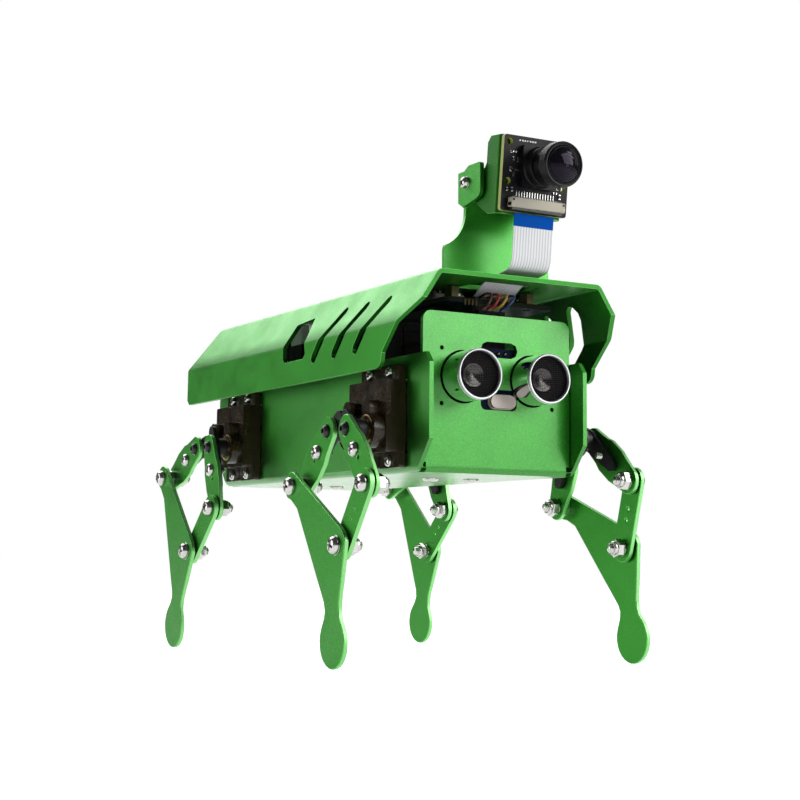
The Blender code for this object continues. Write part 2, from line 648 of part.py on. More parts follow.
def leg(corner):
    end, hand = corner.split("_")
    side = -1 if hand == "right" else 1
    rear_x, front_x = SHAFT_X[end]
    front_turn = math.radians(FRONT_CRANK[corner])
    rear_turn = standing_turn(rear_x, front_x, front_turn)
    rear, front, low, turn, _ = leg_pose(rear_x, front_x, rear_turn, front_turn)
    cranks = (("rear", rear_x, rear_turn, rear), ("front", front_x, front_turn, front))
    for which, x, angle, _knee in cranks:
        hub = (x, 0.0, SHAFT_Z)
        servo(f"{corner}_servo_{which}", x, side)
        horn(f"{corner}_horn_{which}", x, angle, side, hub)
        spots = ((0.0, 2.3, 12), (9.0, 1.3, 8), (12.4, 0.8, 8), (CRANK, PIVOT, 12))
        holes = [turned(ring(d, 0.0, r, n), angle, (x, SHAFT_Z)) for d, r, n in spots]
        outline = turned(crank_outline(), angle, (x, SHAFT_Z))
        flat(f"{corner}_crank_{which}", outline, holes, CRANK_Y, side, hub)
    rear_hub, front_hub = (rear_x, 0.0, SHAFT_Z), (front_x, 0.0, SHAFT_Z)
    link_turn = math.atan2(low[1] - front[1], low[0] - front[0])
    spots = ((0.0, PIVOT, 12), (9.4, 0.75, 8), (13.2, 0.75, 8), (LINK, PIVOT, 12))
    holes = [turned(ring(d, 0.0, r, n), link_turn, front) for d, r, n in spots]
    front_knee, rear_knee = (front[0], 0.0, front[1]), (rear[0], 0.0, rear[1])
    flat(f"{corner}_link", turned(link_outline(), link_turn, front), holes, LINK_Y, side, front_knee)
    pivot = (SHIN * math.cos(SHIN_TURN), SHIN * math.sin(SHIN_TURN))
    holes = [turned(ring(0.0, 0.0, PIVOT, 14), turn, rear)]
    holes.append(turned(ring(*pivot, OPEN_PIVOT, 18), turn, rear))
    flat(f"{corner}_leg", turned(leg_outline(), turn, rear), holes, LEG_Y, side, rear_knee)
    outer = LEG_Y[1] + GAP
    spacer = (CRANK_Y[1] + GAP, LEG_Y[0] - GAP)
    bolt(f"{corner}_bolt_rear", *rear, side, outer, CRANK_Y[0] - GAP, rear_hub, spacer)
    bolt(f"{corner}_bolt_front", *front, side, LINK_Y[1] + GAP, CRANK_Y[0] - GAP, front_hub)
    bolt(f"{corner}_bolt_low", *low, side, outer, LINK_Y[0] - GAP, front_knee)


# ---------------------------------------------------------------- assembly

HINGE = (HINGE_X, HEAD_Y, HINGE_Z)
clear_scene()
PARTS = collection("walking_robot")
CUTTERS = collection("cutters", hidden=True)

chassis_tray()
top_cover()
neck_bracket()
camera_bracket()
camera_board()
camera_lens()
camera_connector()
tilt_bolt()
camera_cable()
ultrasonic_board()
transducer("transducer_right", -1)
transducer("transducer_left", 1)
main_board()
board_post("board_post_right", HEAD_Y - 8.0)
board_post("board_post_left", HEAD_Y + 8.0)
battery_pack()
for corner_name in FRONT_CRANK:
    leg(corner_name)
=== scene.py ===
"""Looks of the walking robot: finishes for the CAD frame and finely built hardware on it."""

import json
import math
import random

import bmesh
import bpy
from mathutils import Matrix, Vector


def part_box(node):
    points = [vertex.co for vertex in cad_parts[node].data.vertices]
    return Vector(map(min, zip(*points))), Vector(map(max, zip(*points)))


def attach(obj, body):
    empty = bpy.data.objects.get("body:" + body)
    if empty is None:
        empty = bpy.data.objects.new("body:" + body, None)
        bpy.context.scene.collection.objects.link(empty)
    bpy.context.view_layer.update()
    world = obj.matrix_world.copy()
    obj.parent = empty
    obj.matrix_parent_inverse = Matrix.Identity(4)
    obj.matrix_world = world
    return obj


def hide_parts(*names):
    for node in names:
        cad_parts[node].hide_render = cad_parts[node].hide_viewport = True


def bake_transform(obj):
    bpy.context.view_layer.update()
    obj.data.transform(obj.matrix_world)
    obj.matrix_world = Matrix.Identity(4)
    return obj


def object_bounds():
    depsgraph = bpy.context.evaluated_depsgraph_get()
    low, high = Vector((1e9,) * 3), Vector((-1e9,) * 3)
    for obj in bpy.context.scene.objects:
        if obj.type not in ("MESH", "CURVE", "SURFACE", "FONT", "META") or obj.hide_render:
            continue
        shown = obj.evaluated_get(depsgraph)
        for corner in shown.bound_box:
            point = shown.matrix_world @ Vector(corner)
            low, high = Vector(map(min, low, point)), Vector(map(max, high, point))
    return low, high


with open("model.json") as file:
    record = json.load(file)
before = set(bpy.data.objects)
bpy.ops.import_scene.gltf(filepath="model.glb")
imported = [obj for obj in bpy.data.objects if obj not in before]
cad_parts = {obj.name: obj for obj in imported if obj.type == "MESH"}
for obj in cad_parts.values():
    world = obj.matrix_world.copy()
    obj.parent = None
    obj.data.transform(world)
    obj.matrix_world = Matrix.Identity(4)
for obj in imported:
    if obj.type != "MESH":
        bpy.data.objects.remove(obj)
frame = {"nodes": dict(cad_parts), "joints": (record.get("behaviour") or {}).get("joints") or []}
CAD_BOX = [list(corner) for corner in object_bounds()]

# The drawing is in millimetres: X forward from the front plate, Y left, Z up from the tray's underside.
MM = 0.001
WING = 7.2  # reach of the tray's front wings past the front plate
TRAY_LO, TRAY_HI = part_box("chassis_tray")
ORIGIN = Vector((TRAY_HI.x - WING * MM, 0.0, TRAY_LO.z))
DRAWING = Matrix.Translation(ORIGIN) @ Matrix.Scale(MM, 4)

CORNERS = ("front_right", "rear_right", "front_left", "rear_left")
SHAFT_Z = 13.2  # height of the servo shafts
SERVO_Z = 17.7  # height of the middle of a servo case
# distance from the middle plane of the servo ears, and of the inner and outer faces of a leg's layers
EAR_FACE = 32.4
HORN = (44.7, 46.2)
CRANK = (46.5, 48.0)
LINK = (48.6, 50.1)
LEG = (50.7, 52.2)
GAP = 0.3  # thickness of a washer under a bolt head or nut
CLEAR = 0.05  # free play on each side of a spacing washer
ROOF_TOP = 61.6
# right-hand facet of the cover, (y, z) of its lower and upper edge, and how far the fold's soft shading
# reaches below and above the lower edge
COVER_FACET = ((40.8, 45.4), (30.2, ROOF_TOP))
FOLD_REACH = (2.2, 5.0)
# middle of the camera head, its hinge and rest angle, and its board's front face ahead of the hinge
HEAD_Y = 3.8
HINGE = (-2.8, HEAD_Y, 93.5)
TILT = math.radians(6.45)
CAMERA_BOARD_FACE = 18.5
# middles of the ultrasonic transducers, either side of the middle plane
EYE_Y = 13.0
EYE_Z = 30.4
# main board under the roof and servo driver board behind it
MAIN_Z = 56.0
BOARD_SCREWS = [(x, y) for x in (-5.0, -63.0) for y in (-14.4, 14.4)]
DRIVER_X = (-140.0, -80.0)
DRIVER_HALF = 20.0
DRIVER_Z = 43.0
REAR_WALL = -146.0


def at(x, y, z):
    """Row-frame point of a point on the drawing, in millimetres."""
    return DRAWING @ Vector((x, y, z))


def drawn(point):
    """Drawing point, in millimetres, of a row-frame point."""
    return (Vector(point) - ORIGIN) / MM


def seat(point, out, up=(0.0, 0.0, 1.0)):
    """Matrix from millimetres, with Z outward from a drawing point, to the row frame."""
    z = Vector(out).normalized()
    x = Vector(up).cross(z).normalized()
    turn = Matrix((x, z.cross(x), z)).transposed().to_4x4()
    return DRAWING @ Matrix.Translation(Vector(point)) @ turn


UPWARD = ((0.0, 0.0, 1.0), (1.0, 0.0, 0.0))
DOWNWARD = ((0.0, 0.0, -1.0), (1.0, 0.0, 0.0))


def shift(x, y, z=0.0):
    return Matrix.Translation((x, y, z))


def lift(distance, turn=0.0):
    return shift(0.0, 0.0, distance) @ Matrix.Rotation(turn, 4, "Z")


def place(name, data):
    """New object in the scene."""
    ob = bpy.data.objects.new(name, data)
    bpy.context.scene.collection.objects.link(ob)
    return ob


def to_mesh(name, bm):
    """Mesh of a bmesh, which is used up."""
    mesh = bpy.data.meshes.new(name)
    bm.to_mesh(mesh)
    bm.free()
    return mesh


# ---------------------------------------------------------------- camera, floor and light

# the photo's camera, fitted to about forty points of the picture
CAMERA = (434.9, -283.1, -25.5)
LOOK_AZIMUTH = math.radians(150.227)
LOOK_UP = math.radians(6.809)
ROLL = math.radians(0.477)
SENSOR = 36.0
FOCAL = 73.54
SHIFT = (-0.0058, -0.0502)

AMBIENT = 0.055  # sky strength for light; the camera sees pure white
FLOOR_GLOW = (0.72, 0.97)  # floor emission for light and for the camera
LIT_POINT = (-50, 0, 20)
# softboxes: azimuth and elevation in degrees, width and height, power, distance
LIGHTS = (
    ("key_front", 38, 28, (0.62, 0.46), 4.0, 0.65),
    ("top_rear", 180, 43, (1.3, 0.8), 11.3, 1.1),
    ("side_fill", -122, 8, (0.7, 0.5), 2.6, 1.1),
    ("left_fill", 105, 30, (0.9, 0.7), 1.0, 1.1),
    ("front_low", 32, 0, (0.22, 0.4), 0.6, 1.1),
)


def make_camera():
    data = bpy.data.cameras.new("camera")
    data.sensor_width = SENSOR
    data.lens = FOCAL
    data.shift_x, data.shift_y = SHIFT
    data.clip_start = 0.01
    look = Vector((
        math.cos(LOOK_UP) * math.cos(LOOK_AZIMUTH),
        math.cos(LOOK_UP) * math.sin(LOOK_AZIMUTH),
        math.sin(LOOK_UP),
    ))
    ob = place("camera", data)
    turn = look.to_track_quat("-Z", "Y").to_matrix().to_4x4()
    ob.matrix_world = Matrix.Translation(at(*CAMERA)) @ turn @ Matrix.Rotation(ROLL, 4, "Z")
    bpy.context.scene.camera = ob


def softbox(name, azimuth, elevation, size, power, distance):
    """Large area light aimed at the robot, unseen by the camera itself."""
    data = bpy.data.lights.new(name, "AREA")
    data.shape = "RECTANGLE"
    data.size, data.size_y = size
    data.energy = power
    ob = place(name, data)
    a, e = math.radians(azimuth), math.radians(elevation)
    away = Vector((math.cos(e) * math.cos(a), math.cos(e) * math.sin(a), math.sin(e)))
    turn = away.to_track_quat("Z", "Y").to_matrix().to_4x4()
    ob.matrix_world = Matrix.Translation(at(*LIT_POINT) + away * distance) @ turn
    ob.visible_camera = False


def make_world():
    """White to the camera; for light, an even sky that is almost dark."""
    world = bpy.data.worlds.new("studio")
    bpy.context.scene.world = world
    world.use_nodes = True
    tree = world.node_tree
    tree.nodes.clear()
    new, link = tree.nodes.new, tree.links.new
    out, mix = new("ShaderNodeOutputWorld"), new("ShaderNodeMixShader")
    seen, lit = new("ShaderNodeBackground"), new("ShaderNodeBackground")
    seen.inputs["Color"].default_value = (1, 1, 1, 1)
    lit.inputs["Color"].default_value = (0.97, 0.99, 1.0, 1)
    lit.inputs["Strength"].default_value = AMBIENT
    link(new("ShaderNodeLightPath").outputs["Is Camera Ray"], mix.inputs[0])
    link(lit.outputs[0], mix.inputs[1])
    link(seen.outputs[0], mix.inputs[2])
    link(mix.outputs[0], out.inputs[0])


def make_stage():
    """Plain pale floor under the feet, and the soft lights round the robot."""
    bpy.context.scene.view_settings.view_transform = "Standard"
    bm = bmesh.new()
    bmesh.ops.create_grid(bm, x_segments=8, y_segments=8, size=20.0)
    floor = place("floor", to_mesh("floor", bm))
    floor.location.z = CAD_BOX[0][2]
    paper = Look("floor_paper", (0.6, 0.6, 0.6), 0.9, mottle=0.01, size=60.0, bump=0.02, grain=2.0)
    paper.shader.inputs["Emission Color"].default_value = (1, 1, 1, 1)
    seen = paper.put("LightPath").outputs["Is Camera Ray"]
    paper.link(paper.ramp(seen, 0.0, 1.0, *FLOOR_GLOW), "Emission Strength")
    floor.data.materials.append(paper.mat)
    for light in LIGHTS:
        softbox(*light)


# ---------------------------------------------------------------- finishes

class Look:
    """A Principled material with grain, blotches and uneven roughness from noise."""

    def __init__(self, name, colour, rough, metal=0.0, mottle=0.08, size=4.0, grain=0.3,
                 bump=0.01, speckle=0.0, spread=0.06, **sockets):
        self.mat = bpy.data.materials.new(name)
        self.mat.use_nodes = True
        self.tree = self.mat.node_tree
        self.shader = self.tree.nodes["Principled BSDF"]
        self.place = self.put("TexCoord").outputs["Object"]
        self.shader.inputs["Metallic"].default_value = metal
        for key, value in sockets.items():
            self.shader.inputs[key.replace("_", " ")].default_value = value
        broad = self.noise(1.0 / (size * MM), 4.0)
        fine = self.noise(1.0 / (grain * MM), 2.0)
        tone = self.blend_colour(broad, scaled(colour, 1 - mottle), scaled(colour, 1 + mottle))
        if speckle:
            dots = self.ramp(fine, 0.35, 0.65, 1 - speckle, 1 + speckle)
            tone = self.scale_colour(tone, dots)
        self.link(tone, "Base Color")
        self.link(self.ramp(broad, 0.3, 0.7, rough - spread, rough + spread), "Roughness")
        if bump:
            self.ridge = self.put("Bump", Height=fine, Strength=1.0, Distance=bump * MM)
            self.link(self.ridge.outputs["Normal"], "Normal")
        self.tone = tone

    def feed(self, socket, value):
        """Link an output to a socket, or set the socket to a constant."""
        if isinstance(value, bpy.types.NodeSocket):
            self.tree.links.new(value, socket)
        else:
            socket.default_value = value

    def put(self, kind, **values):
        node = self.tree.nodes.new("ShaderNode" + kind)
        for key, value in values.items():
            self.feed(node.inputs[key.replace("_", " ")], value)
        return node

    def link(self, output, name):
        self.tree.links.new(output, self.shader.inputs[name])

    def noise(self, scale, detail):
        return self.put("TexNoise", Vector=self.place, Scale=scale, Detail=detail).outputs[0]

    def ramp(self, value, low, high, out_low, out_high):
        ends = {"From_Min": low, "From_Max": high, "To_Min": out_low, "To_Max": out_high}
        return self.put("MapRange", Value=value, **ends).outputs["Result"]

    def maths(self, kind, a, b=0.0):
        node = self.put("Math")
        node.operation = kind
        self.feed(node.inputs[0], a)
        self.feed(node.inputs[1], b)
        return node.outputs[0]

    def blend_colour(self, factor, a, b):
        node = self.put("Mix")
        node.data_type = "RGBA"
        self.feed(node.inputs[0], factor)
        for socket, value in ((node.inputs[6], a), (node.inputs[7], b)):
            self.feed(socket, value if isinstance(value, bpy.types.NodeSocket) else (*value, 1.0))
        return node.outputs[2]

    def scale_colour(self, colour, factor):
        node = self.put("VectorMath")
        node.operation = "SCALE"
        self.feed(node.inputs[0], colour)
        self.feed(node.inputs["Scale"], factor)
        return node.outputs[0]


def scaled(colour, factor):
    return tuple(min(1.0, c * factor) for c in colour[:3])


def striped_cable(name, pitch=1.06):
    """White flat cable with a grey conductor line at every pitch across its width."""
    look = Look(name, (0.60, 0.61, 0.62), 0.46, Specular_IOR_Level=0.3, mottle=0.03, size=6.0, grain=0.5,
                bump=0.003)
    across = look.put("SeparateXYZ", Vector=look.place).outputs["Y"]
    wave = look.maths("FRACT", look.maths("MULTIPLY", look.maths("ADD", across, 1.0), 1.0 / (pitch * MM)))
    edge = look.maths("ABSOLUTE", look.maths("SUBTRACT", wave, 0.5))
    factor = look.ramp(edge, 0.12, 0.24, 1.0, 0.0)
    look.link(look.blend_colour(factor, look.tone, (0.40, 0.41, 0.43)), "Base Color")
    return look


def soften_fold(look, ob):
    """Rounded shading along the cover's lower fold, as a wide bend in the sheet gives."""
    (y0, z0), (y1, z1) = COVER_FACET
    level = (ob.matrix_world.inverted() @ at(0.0, 0.0, z0)).z
    spot = look.put("SeparateXYZ", Vector=look.place)
    side = look.maths("SIGN", spot.outputs["Y"])
    tilt = look.ramp(spot.outputs["Z"], level - FOLD_REACH[0] * MM, level + FOLD_REACH[1] * MM,
                     0.0, math.atan2(y0 - y1, z1 - z0))
    aim = look.put("CombineXYZ", X=0.0, Y=look.maths("MULTIPLY", side, look.maths("COSINE", tilt)),
                   Z=look.maths("SINE", tilt))
    given = look.put("NewGeometry").outputs["Normal"]
    match = look.put("VectorMath")
    match.operation = "DOT_PRODUCT"
    look.feed(match.inputs[0], given)
    look.feed(match.inputs[1], aim.outputs["Vector"])
    outer = look.maths("GREATER_THAN", match.outputs["Value"], 0.7)
    near = look.maths("LESS_THAN", spot.outputs["Z"], level + 1.6 * FOLD_REACH[1] * MM)
    mixed = look.put("Mix")
    mixed.data_type = "VECTOR"
    look.feed(mixed.inputs[0], look.maths("MULTIPLY", outer, near))
    look.feed(mixed.inputs[4], given)
    look.feed(mixed.inputs[5], aim.outputs["Vector"])
    look.feed(look.ridge.inputs["Normal"], mixed.outputs[1])


def paint_cut_light(look, axis, lengthwise, colour):
    """Painted light on the cut edges of a sheet, told from its faces by one part of the normal: a light
    colour there is a painted highlight, a dark one painted shade.
    """
    given = look.put("SeparateXYZ", Vector=look.put("NewGeometry").outputs["Normal"])
    along = look.maths("ABSOLUTE", given.outputs[axis])
    edge = look.ramp(along, 0.5, 0.8, 1.0 - lengthwise, lengthwise)
    look.link(look.blend_colour(edge, look.tone, colour), "Base Color")


def circuit(name, colour, trace, shine=0.14):
    """Solder mask with faint traces running under it."""
    look = Look(name, colour, 0.34, mottle=0.12, size=3.0, grain=0.4, bump=0.004, Specular_IOR_Level=shine)
    cells = look.put("TexVoronoi", Vector=look.place, Scale=520.0)
    cells.distance = "MANHATTAN"
    wave = look.maths("FRACT", look.maths("MULTIPLY", cells.outputs["Distance"], 3.0))
    lines = look.ramp(wave, 0.08, 0.16, 1.0, 0.0)
    look.link(look.blend_colour(lines, look.tone, trace), "Base Color")
    return look


def anodised(name, colour, coat, coat_rough, rough=0.47, size=9.0, **sockets):
    """Blasted and dyed aluminium sheet under its clear oxide coat."""
    return Look(name, colour, rough, metal=1.0, mottle=0.07, size=size, grain=0.34, bump=0.014,
                speckle=0.20, Coat_Weight=coat, Coat_Roughness=coat_rough, **sockets)


LEAF = (0.030, 0.26, 0.020)
# painted highlight for the legs' cut edges
PAINTED_CUT_HIGHLIGHT = (0.26, 0.66, 0.23)
# painted shade for the cover's edges that face forward and back
PAINTED_CUT_SHADE = (0.018, 0.15, 0.012)
GREEN = anodised("green_anodised", LEAF, 0.9, 0.26, Coat_IOR=1.55)
GREEN_COVER = anodised("green_cover", LEAF, 0.2, 0.26, Coat_IOR=1.55)
# painted light: a lighter copy of the anodised green for the neck bracket, standing for the light that
# falls on it
GREEN_NECK_LIT = anodised("green_neck_lit", (0.037, 0.31, 0.025), 0.6, 0.26, Coat_IOR=1.55)
# painted shade: a darker copy of the anodised green for the camera bracket, which sits in shade
GREEN_HEAD_SHADED = anodised("green_head_shaded", (0.014, 0.12, 0.007), 0.25, 0.3, rough=0.44, size=7.0)
GREEN_LEG = anodised("green_leg", LEAF, 0.2, 0.3, size=7.0)
# lighter green on the bevels: partly bare edge wear, partly a painted highlight line
GREEN_EDGE_WEAR_AND_SHEEN = Look("green_edge_wear_and_sheen", (0.10, 0.42, 0.08), 0.30, metal=1.0, mottle=0.2, size=1.2, grain=0.2,
                  bump=0.006, speckle=0.2, Coat_Weight=0.6, Coat_Roughness=0.25)
STEEL = Look("screw_steel", (0.58, 0.57, 0.55), 0.22, metal=1.0, mottle=0.16, size=0.8, grain=0.15,
             bump=0.002)
# painted shade: dark fill on the floor of a screw's cross recess
RECESS_SHADE = Look("screw_recess_shade", (0.035, 0.024, 0.020), 0.5, metal=0.6, mottle=0.3, size=0.5, grain=0.12,
              bump=0.004)
DARK_STEEL = Look("dark_steel", (0.25, 0.25, 0.26), 0.28, metal=1.0, mottle=0.2, size=1.0, bump=0.002)
BRASS = Look("brass", (0.055, 0.046, 0.024), 0.38, metal=1.0, mottle=0.12, size=1.0, grain=0.2, bump=0.002)
SILVER = Look("barrel_aluminium", (0.80, 0.81, 0.83), 0.09, metal=1.0, mottle=0.04, size=2.0, grain=0.3,
              bump=0.0006, spread=0.03)
RIM = Look("rim_aluminium", (0.58, 0.58, 0.60), 0.46, metal=1.0, mottle=0.12, size=0.5, grain=0.12,
           bump=0.006)
CAN = Look("crystal_can", (0.30, 0.27, 0.24), 0.34, metal=1.0, mottle=0.08, size=1.5, grain=0.2,
           bump=0.003)
BLACK = Look("black_plastic", (0.012, 0.012, 0.013), 0.33, mottle=0.25, size=2.0, grain=0.2, bump=0.004)
CONE = Look("cone_metal", (0.090, 0.083, 0.079), 0.14, metal=1.0, mottle=0.2, size=0.6, grain=0.12,
            bump=0.006)
HORN_BLACK = Look("horn_nylon", (0.010, 0.010, 0.011), 0.36, mottle=0.25, size=2.0, grain=0.2,
                  bump=0.006, Specular_IOR_Level=0.25)
LENS_BLACK = Look("lens_anodised", (0.004, 0.004, 0.005), 0.32, mottle=0.2, size=2.0, bump=0.003,
                  Specular_IOR_Level=0.18)
INNER_BLACK = Look("inner_black", (0.006, 0.006, 0.006), 0.7, mottle=0.3, size=2.0, bump=0.004,
                   Specular_IOR_Level=0.12)
NYLON = Look("nylon", (0.72, 0.73, 0.74), 0.45, mottle=0.05, size=1.0, bump=0.003)
SMOKE = Look("smoky_case", (0.060, 0.041, 0.021), 0.2, mottle=0.5, size=4.0, grain=0.5, bump=0.003,
             Transmission_Weight=0.65, IOR=1.42, Specular_IOR_Level=0.3)
GEAR_BRASS = Look("gear_brass", (0.26, 0.19, 0.08), 0.3, metal=1.0, mottle=0.12, size=1.0, grain=0.2,
                  bump=0.002)
MASK = circuit("camera_mask", (0.006, 0.006, 0.007), (0.016, 0.016, 0.018))
NAVY = circuit("board_mask", (0.003, 0.006, 0.018), (0.008, 0.018, 0.05), 0.02)
FIBRE = Look("board_edge", (0.34, 0.38, 0.09), 0.55, mottle=0.18, size=0.8, grain=0.15, bump=0.01)
CREAM = Look("cream_latch", (0.36, 0.335, 0.265), 0.5, mottle=0.05, size=1.5, grain=0.2, bump=0.003,
             Specular_IOR_Level=0.25)
CHIP = Look("chip_epoxy", (0.018, 0.018, 0.019), 0.55, mottle=0.2, size=0.7, grain=0.12, bump=0.006)
TIN = Look("tinned_contact", (0.75, 0.75, 0.73), 0.25, metal=1.0, mottle=0.1, size=0.5, bump=0.002)
TRACE = Look("pad_gold", (0.035, 0.028, 0.013), 0.5, metal=1.0, mottle=0.2, size=0.6, grain=0.15,
             bump=0.002)
PRINT = Look("silkscreen", (0.75, 0.75, 0.74), 0.6, mottle=0.1, size=0.4, grain=0.1, bump=0.002)
BLUE = Look("cable_stiffener", (0.001, 0.058, 0.30), 0.6, mottle=0.06, size=3.0, grain=0.4, bump=0.003,
            Specular_IOR_Level=0.02)
RIBBON = striped_cable("flat_cable")
WRAP = Look("cell_wrap", (0.02, 0.10, 0.34), 0.38, mottle=0.1, size=8.0, grain=0.6, bump=0.004)
GRILLE = Look("grille_wire", (0.018, 0.017, 0.018), 0.42, metal=0.8, mottle=0.2, size=1.0, bump=0.002)
# painted shade: a far darker copy of the board-edge fibre for the boards inside the body
SHADED_FIBRE = Look("shaded_board_edge", (0.010, 0.012, 0.007), 0.65, mottle=0.18, size=0.8, grain=0.15,
                  bump=0.01, Specular_IOR_Level=0.02)
WIRES = [
    Look("lead_" + tint, colour, 0.45, mottle=0.06, size=2.0, grain=0.3, bump=0.003)
    for tint, colour in (
        ("brown", (0.05, 0.02, 0.010)), ("red", (0.26, 0.012, 0.010)), ("orange", (0.42, 0.10, 0.008)),
        ("yellow", (0.36, 0.23, 0.015)), ("blue", (0.008, 0.03, 0.11)))]
GLASS = Look("lens_glass", (0.004, 0.003, 0.005), 0.09, mottle=0.1, size=3.0, bump=0.0, spread=0.01,
             Coat_Weight=0.06, Coat_Roughness=0.05, IOR=1.45, Specular_IOR_Level=0.16)
GLASS.shader.inputs["Specular Tint"].default_value = (0.8, 0.6, 1.0, 1.0)


# ---------------------------------------------------------------- shape helpers, in millimetres

def arc(cx, cy, radius, start, end, steps):
    turns = [math.radians(start + (end - start) * i / steps) for i in range(steps + 1)]
    return [(cx + radius * math.cos(a), cy + radius * math.sin(a)) for a in turns]


def ring(cx, cy, radius, steps=32):
    return arc(cx, cy, radius, 0.0, 360.0, steps)[:-1]


def rounded(x0, y0, x1, y1, radius, steps=5):
    points = []
    for x, y, turn in ((x1, y1, 0), (x0, y1, 90), (x0, y0, 180), (x1, y0, 270)):
        cx = x - radius if x == x1 else x + radius
        cy = y - radius if y == y1 else y + radius
        points += arc(cx, cy, radius, turn, turn + 90, steps)
    return points


def skin(bm, rings, sides):
    """Solid through a run of rings, each of one point or of all its sides."""
    for low, high in zip(rings, rings[1:]):
        for i in range(sides):
            j = (i + 1) % sides
            quad = [low[i % len(low)], low[j % len(low)], high[j % len(high)], high[i % len(high)]]
            bm.faces.new(list(dict.fromkeys(quad)))
    for end in (rings[0], rings[-1]):
        if len(end) > 1:
            bm.faces.new(end)
    bmesh.ops.recalc_face_normals(bm, faces=bm.faces[:])
    return bm


def lathe(profile, steps=40):
    """Turn (radius, height[, 6]) stations about Z; a third entry makes the station six-sided."""
    bm = bmesh.new()
    rings = []
    for station in profile:
        radius, height = station[:2]
        if radius == 0.0:
            rings.append([bm.verts.new((0.0, 0.0, height))])
            continue
        loop = []
        for i in range(steps):
            a = 2 * math.pi * i / steps
            r = radius
            if len(station) > 2:
                r = radius / math.cos((a + math.pi / 6) % (math.pi / 3) - math.pi / 6)
            loop.append(bm.verts.new((r * math.cos(a), r * math.sin(a), height)))
        rings.append(loop)
    return skin(bm, rings, steps)


def slab(outline, lo, hi, holes=(), bevel=0.0):
    """Flat plate between two heights with holes, its rims rounded a little."""
    bm = bmesh.new()
    edges = []
    for loop in [outline, *holes]:
        verts = [bm.verts.new((*p, lo)) for p in loop]
        edges += [bm.edges.new((verts[i - 1], v)) for i, v in enumerate(verts)]
    bmesh.ops.triangle_fill(bm, use_beauty=True, edges=edges)
    out = bmesh.ops.extrude_face_region(bm, geom=bm.faces[:])
    moved = [v for v in out["geom"] if isinstance(v, bmesh.types.BMVert)]
    bmesh.ops.translate(bm, verts=moved, vec=(0.0, 0.0, hi - lo))
    bmesh.ops.recalc_face_normals(bm, faces=bm.faces[:])
    if bevel:
        soften(bm, bevel)
    return bm


def soften(bm, width):
    """Round every sharp edge."""
    sharp = [e for e in bm.edges if len(e.link_faces) == 2 and e.calc_face_angle(0.0) > 0.7]
    bmesh.ops.bevel(bm, geom=sharp, offset=width, segments=2, affect="EDGES", clamp_overlap=True)


def block(lo, hi, bevel=0.1):
    bm = bmesh.new()
    lo, hi = Vector(lo), Vector(hi)
    fit = Matrix.Translation((lo + hi) / 2) @ Matrix.Diagonal((*(hi - lo), 1.0))
    bmesh.ops.create_cube(bm, size=1.0, matrix=fit)
    if bevel:
        soften(bm, bevel)
    return bm


def brick(x, y, half_x, half_y, lo, hi, bevel):
    """Block about a point, between two heights."""
    return block((x - half_x, y - half_y, lo), (x + half_x, y + half_y, hi), bevel)


def carved(bm, cutter):
    """The solid without the cutter, as a mesh."""
    obs = [place("scratch", to_mesh("scratch", part)) for part in (bm, cutter)]
    mod = obs[0].modifiers.new("cut", "BOOLEAN")
    mod.object = obs[1]
    mod.solver = "EXACT"
    graph = bpy.context.evaluated_depsgraph_get()
    mesh = bpy.data.meshes.new_from_object(obs[0].evaluated_get(graph))
    for ob in obs:
        bpy.data.objects.remove(ob)
    return mesh


def cross_outline(reach, half):
    quarter = [(reach, -half), (reach, half), (half, half)]
    points = []
    for turn in range(4):
        c, s = math.cos(turn * math.pi / 2), math.sin(turn * math.pi / 2)
        points += [(x * c - y * s, x * s + y * c) for x, y in quarter]
    return points


def pan_head_mesh():
    """Unit pan head, radius and height 1, with a tapered cross recess."""
    profile = [(0.0, 1.0), (0.35, 0.99), (0.62, 0.93), (0.82, 0.78), (0.94, 0.52), (1.0, 0.2), (1.0, 0.06)]
    profile += [(0.96, 0.0), (0.0, 0.0)]
    cutter = slab(cross_outline(0.70, 0.17), 0.12, 1.2)
    for vert in cutter.verts:
        if vert.co.z < 0.5:
            vert.co.x *= 0.5
            vert.co.y *= 0.5
    return carved(lathe(profile, 40), cutter)


PAN = pan_head_mesh()


def cross_head(build, radius, height, matrix):
    """Steel pan head; the dark floor in its cross recess is painted shade."""
    head = bmesh.new()
    head.from_mesh(PAN)
    head.transform(Matrix.Diagonal((radius, radius, height, 1.0)))
    build.add(head, STEEL, matrix)
    # dark fill in the recess: painted shade
    fill = slab(cross_outline(0.62 * radius, 0.15 * radius), 0.1 * height, 0.62 * height)
    build.add(fill, RECESS_SHADE, matrix)


def threaded(radius, lo, hi, pitch=0.45):
    """Screw shank whose V grooves run from lo to hi, with a chamfered tip at lo."""
    profile = [(0.0, lo), (radius * 0.62, lo), (radius * 0.9, lo + 0.3)]
    count = max(1, int((hi - lo - 0.4) / pitch))
    for i in range(count):
        z = lo + 0.35 + i * pitch
        profile += [(radius, z + 0.12), (radius * 0.84, z + 0.12 + pitch / 2)]
    profile += [(radius, hi - 0.02), (radius, hi), (0.0, hi)]
    return lathe(profile, 20)


def tube(points, radius, sides=10):
    """Round tube along a polyline."""
    bm = bmesh.new()
    pts = [Vector(p) for p in points]
    rings = []
    side = None
    for i, p in enumerate(pts):
        along = (pts[min(i + 1, len(pts) - 1)] - pts[max(i - 1, 0)]).normalized()
        side = (side or Vector((0.3, 0.5, 0.8))).cross(along).cross(along).normalized() * -1
        other = along.cross(side)
        turns = [2 * math.pi * k / sides for k in range(sides)]
        rings.append([bm.verts.new(p + (side * math.cos(a) + other * math.sin(a)) * radius) for a in turns])
    return skin(bm, rings, sides)


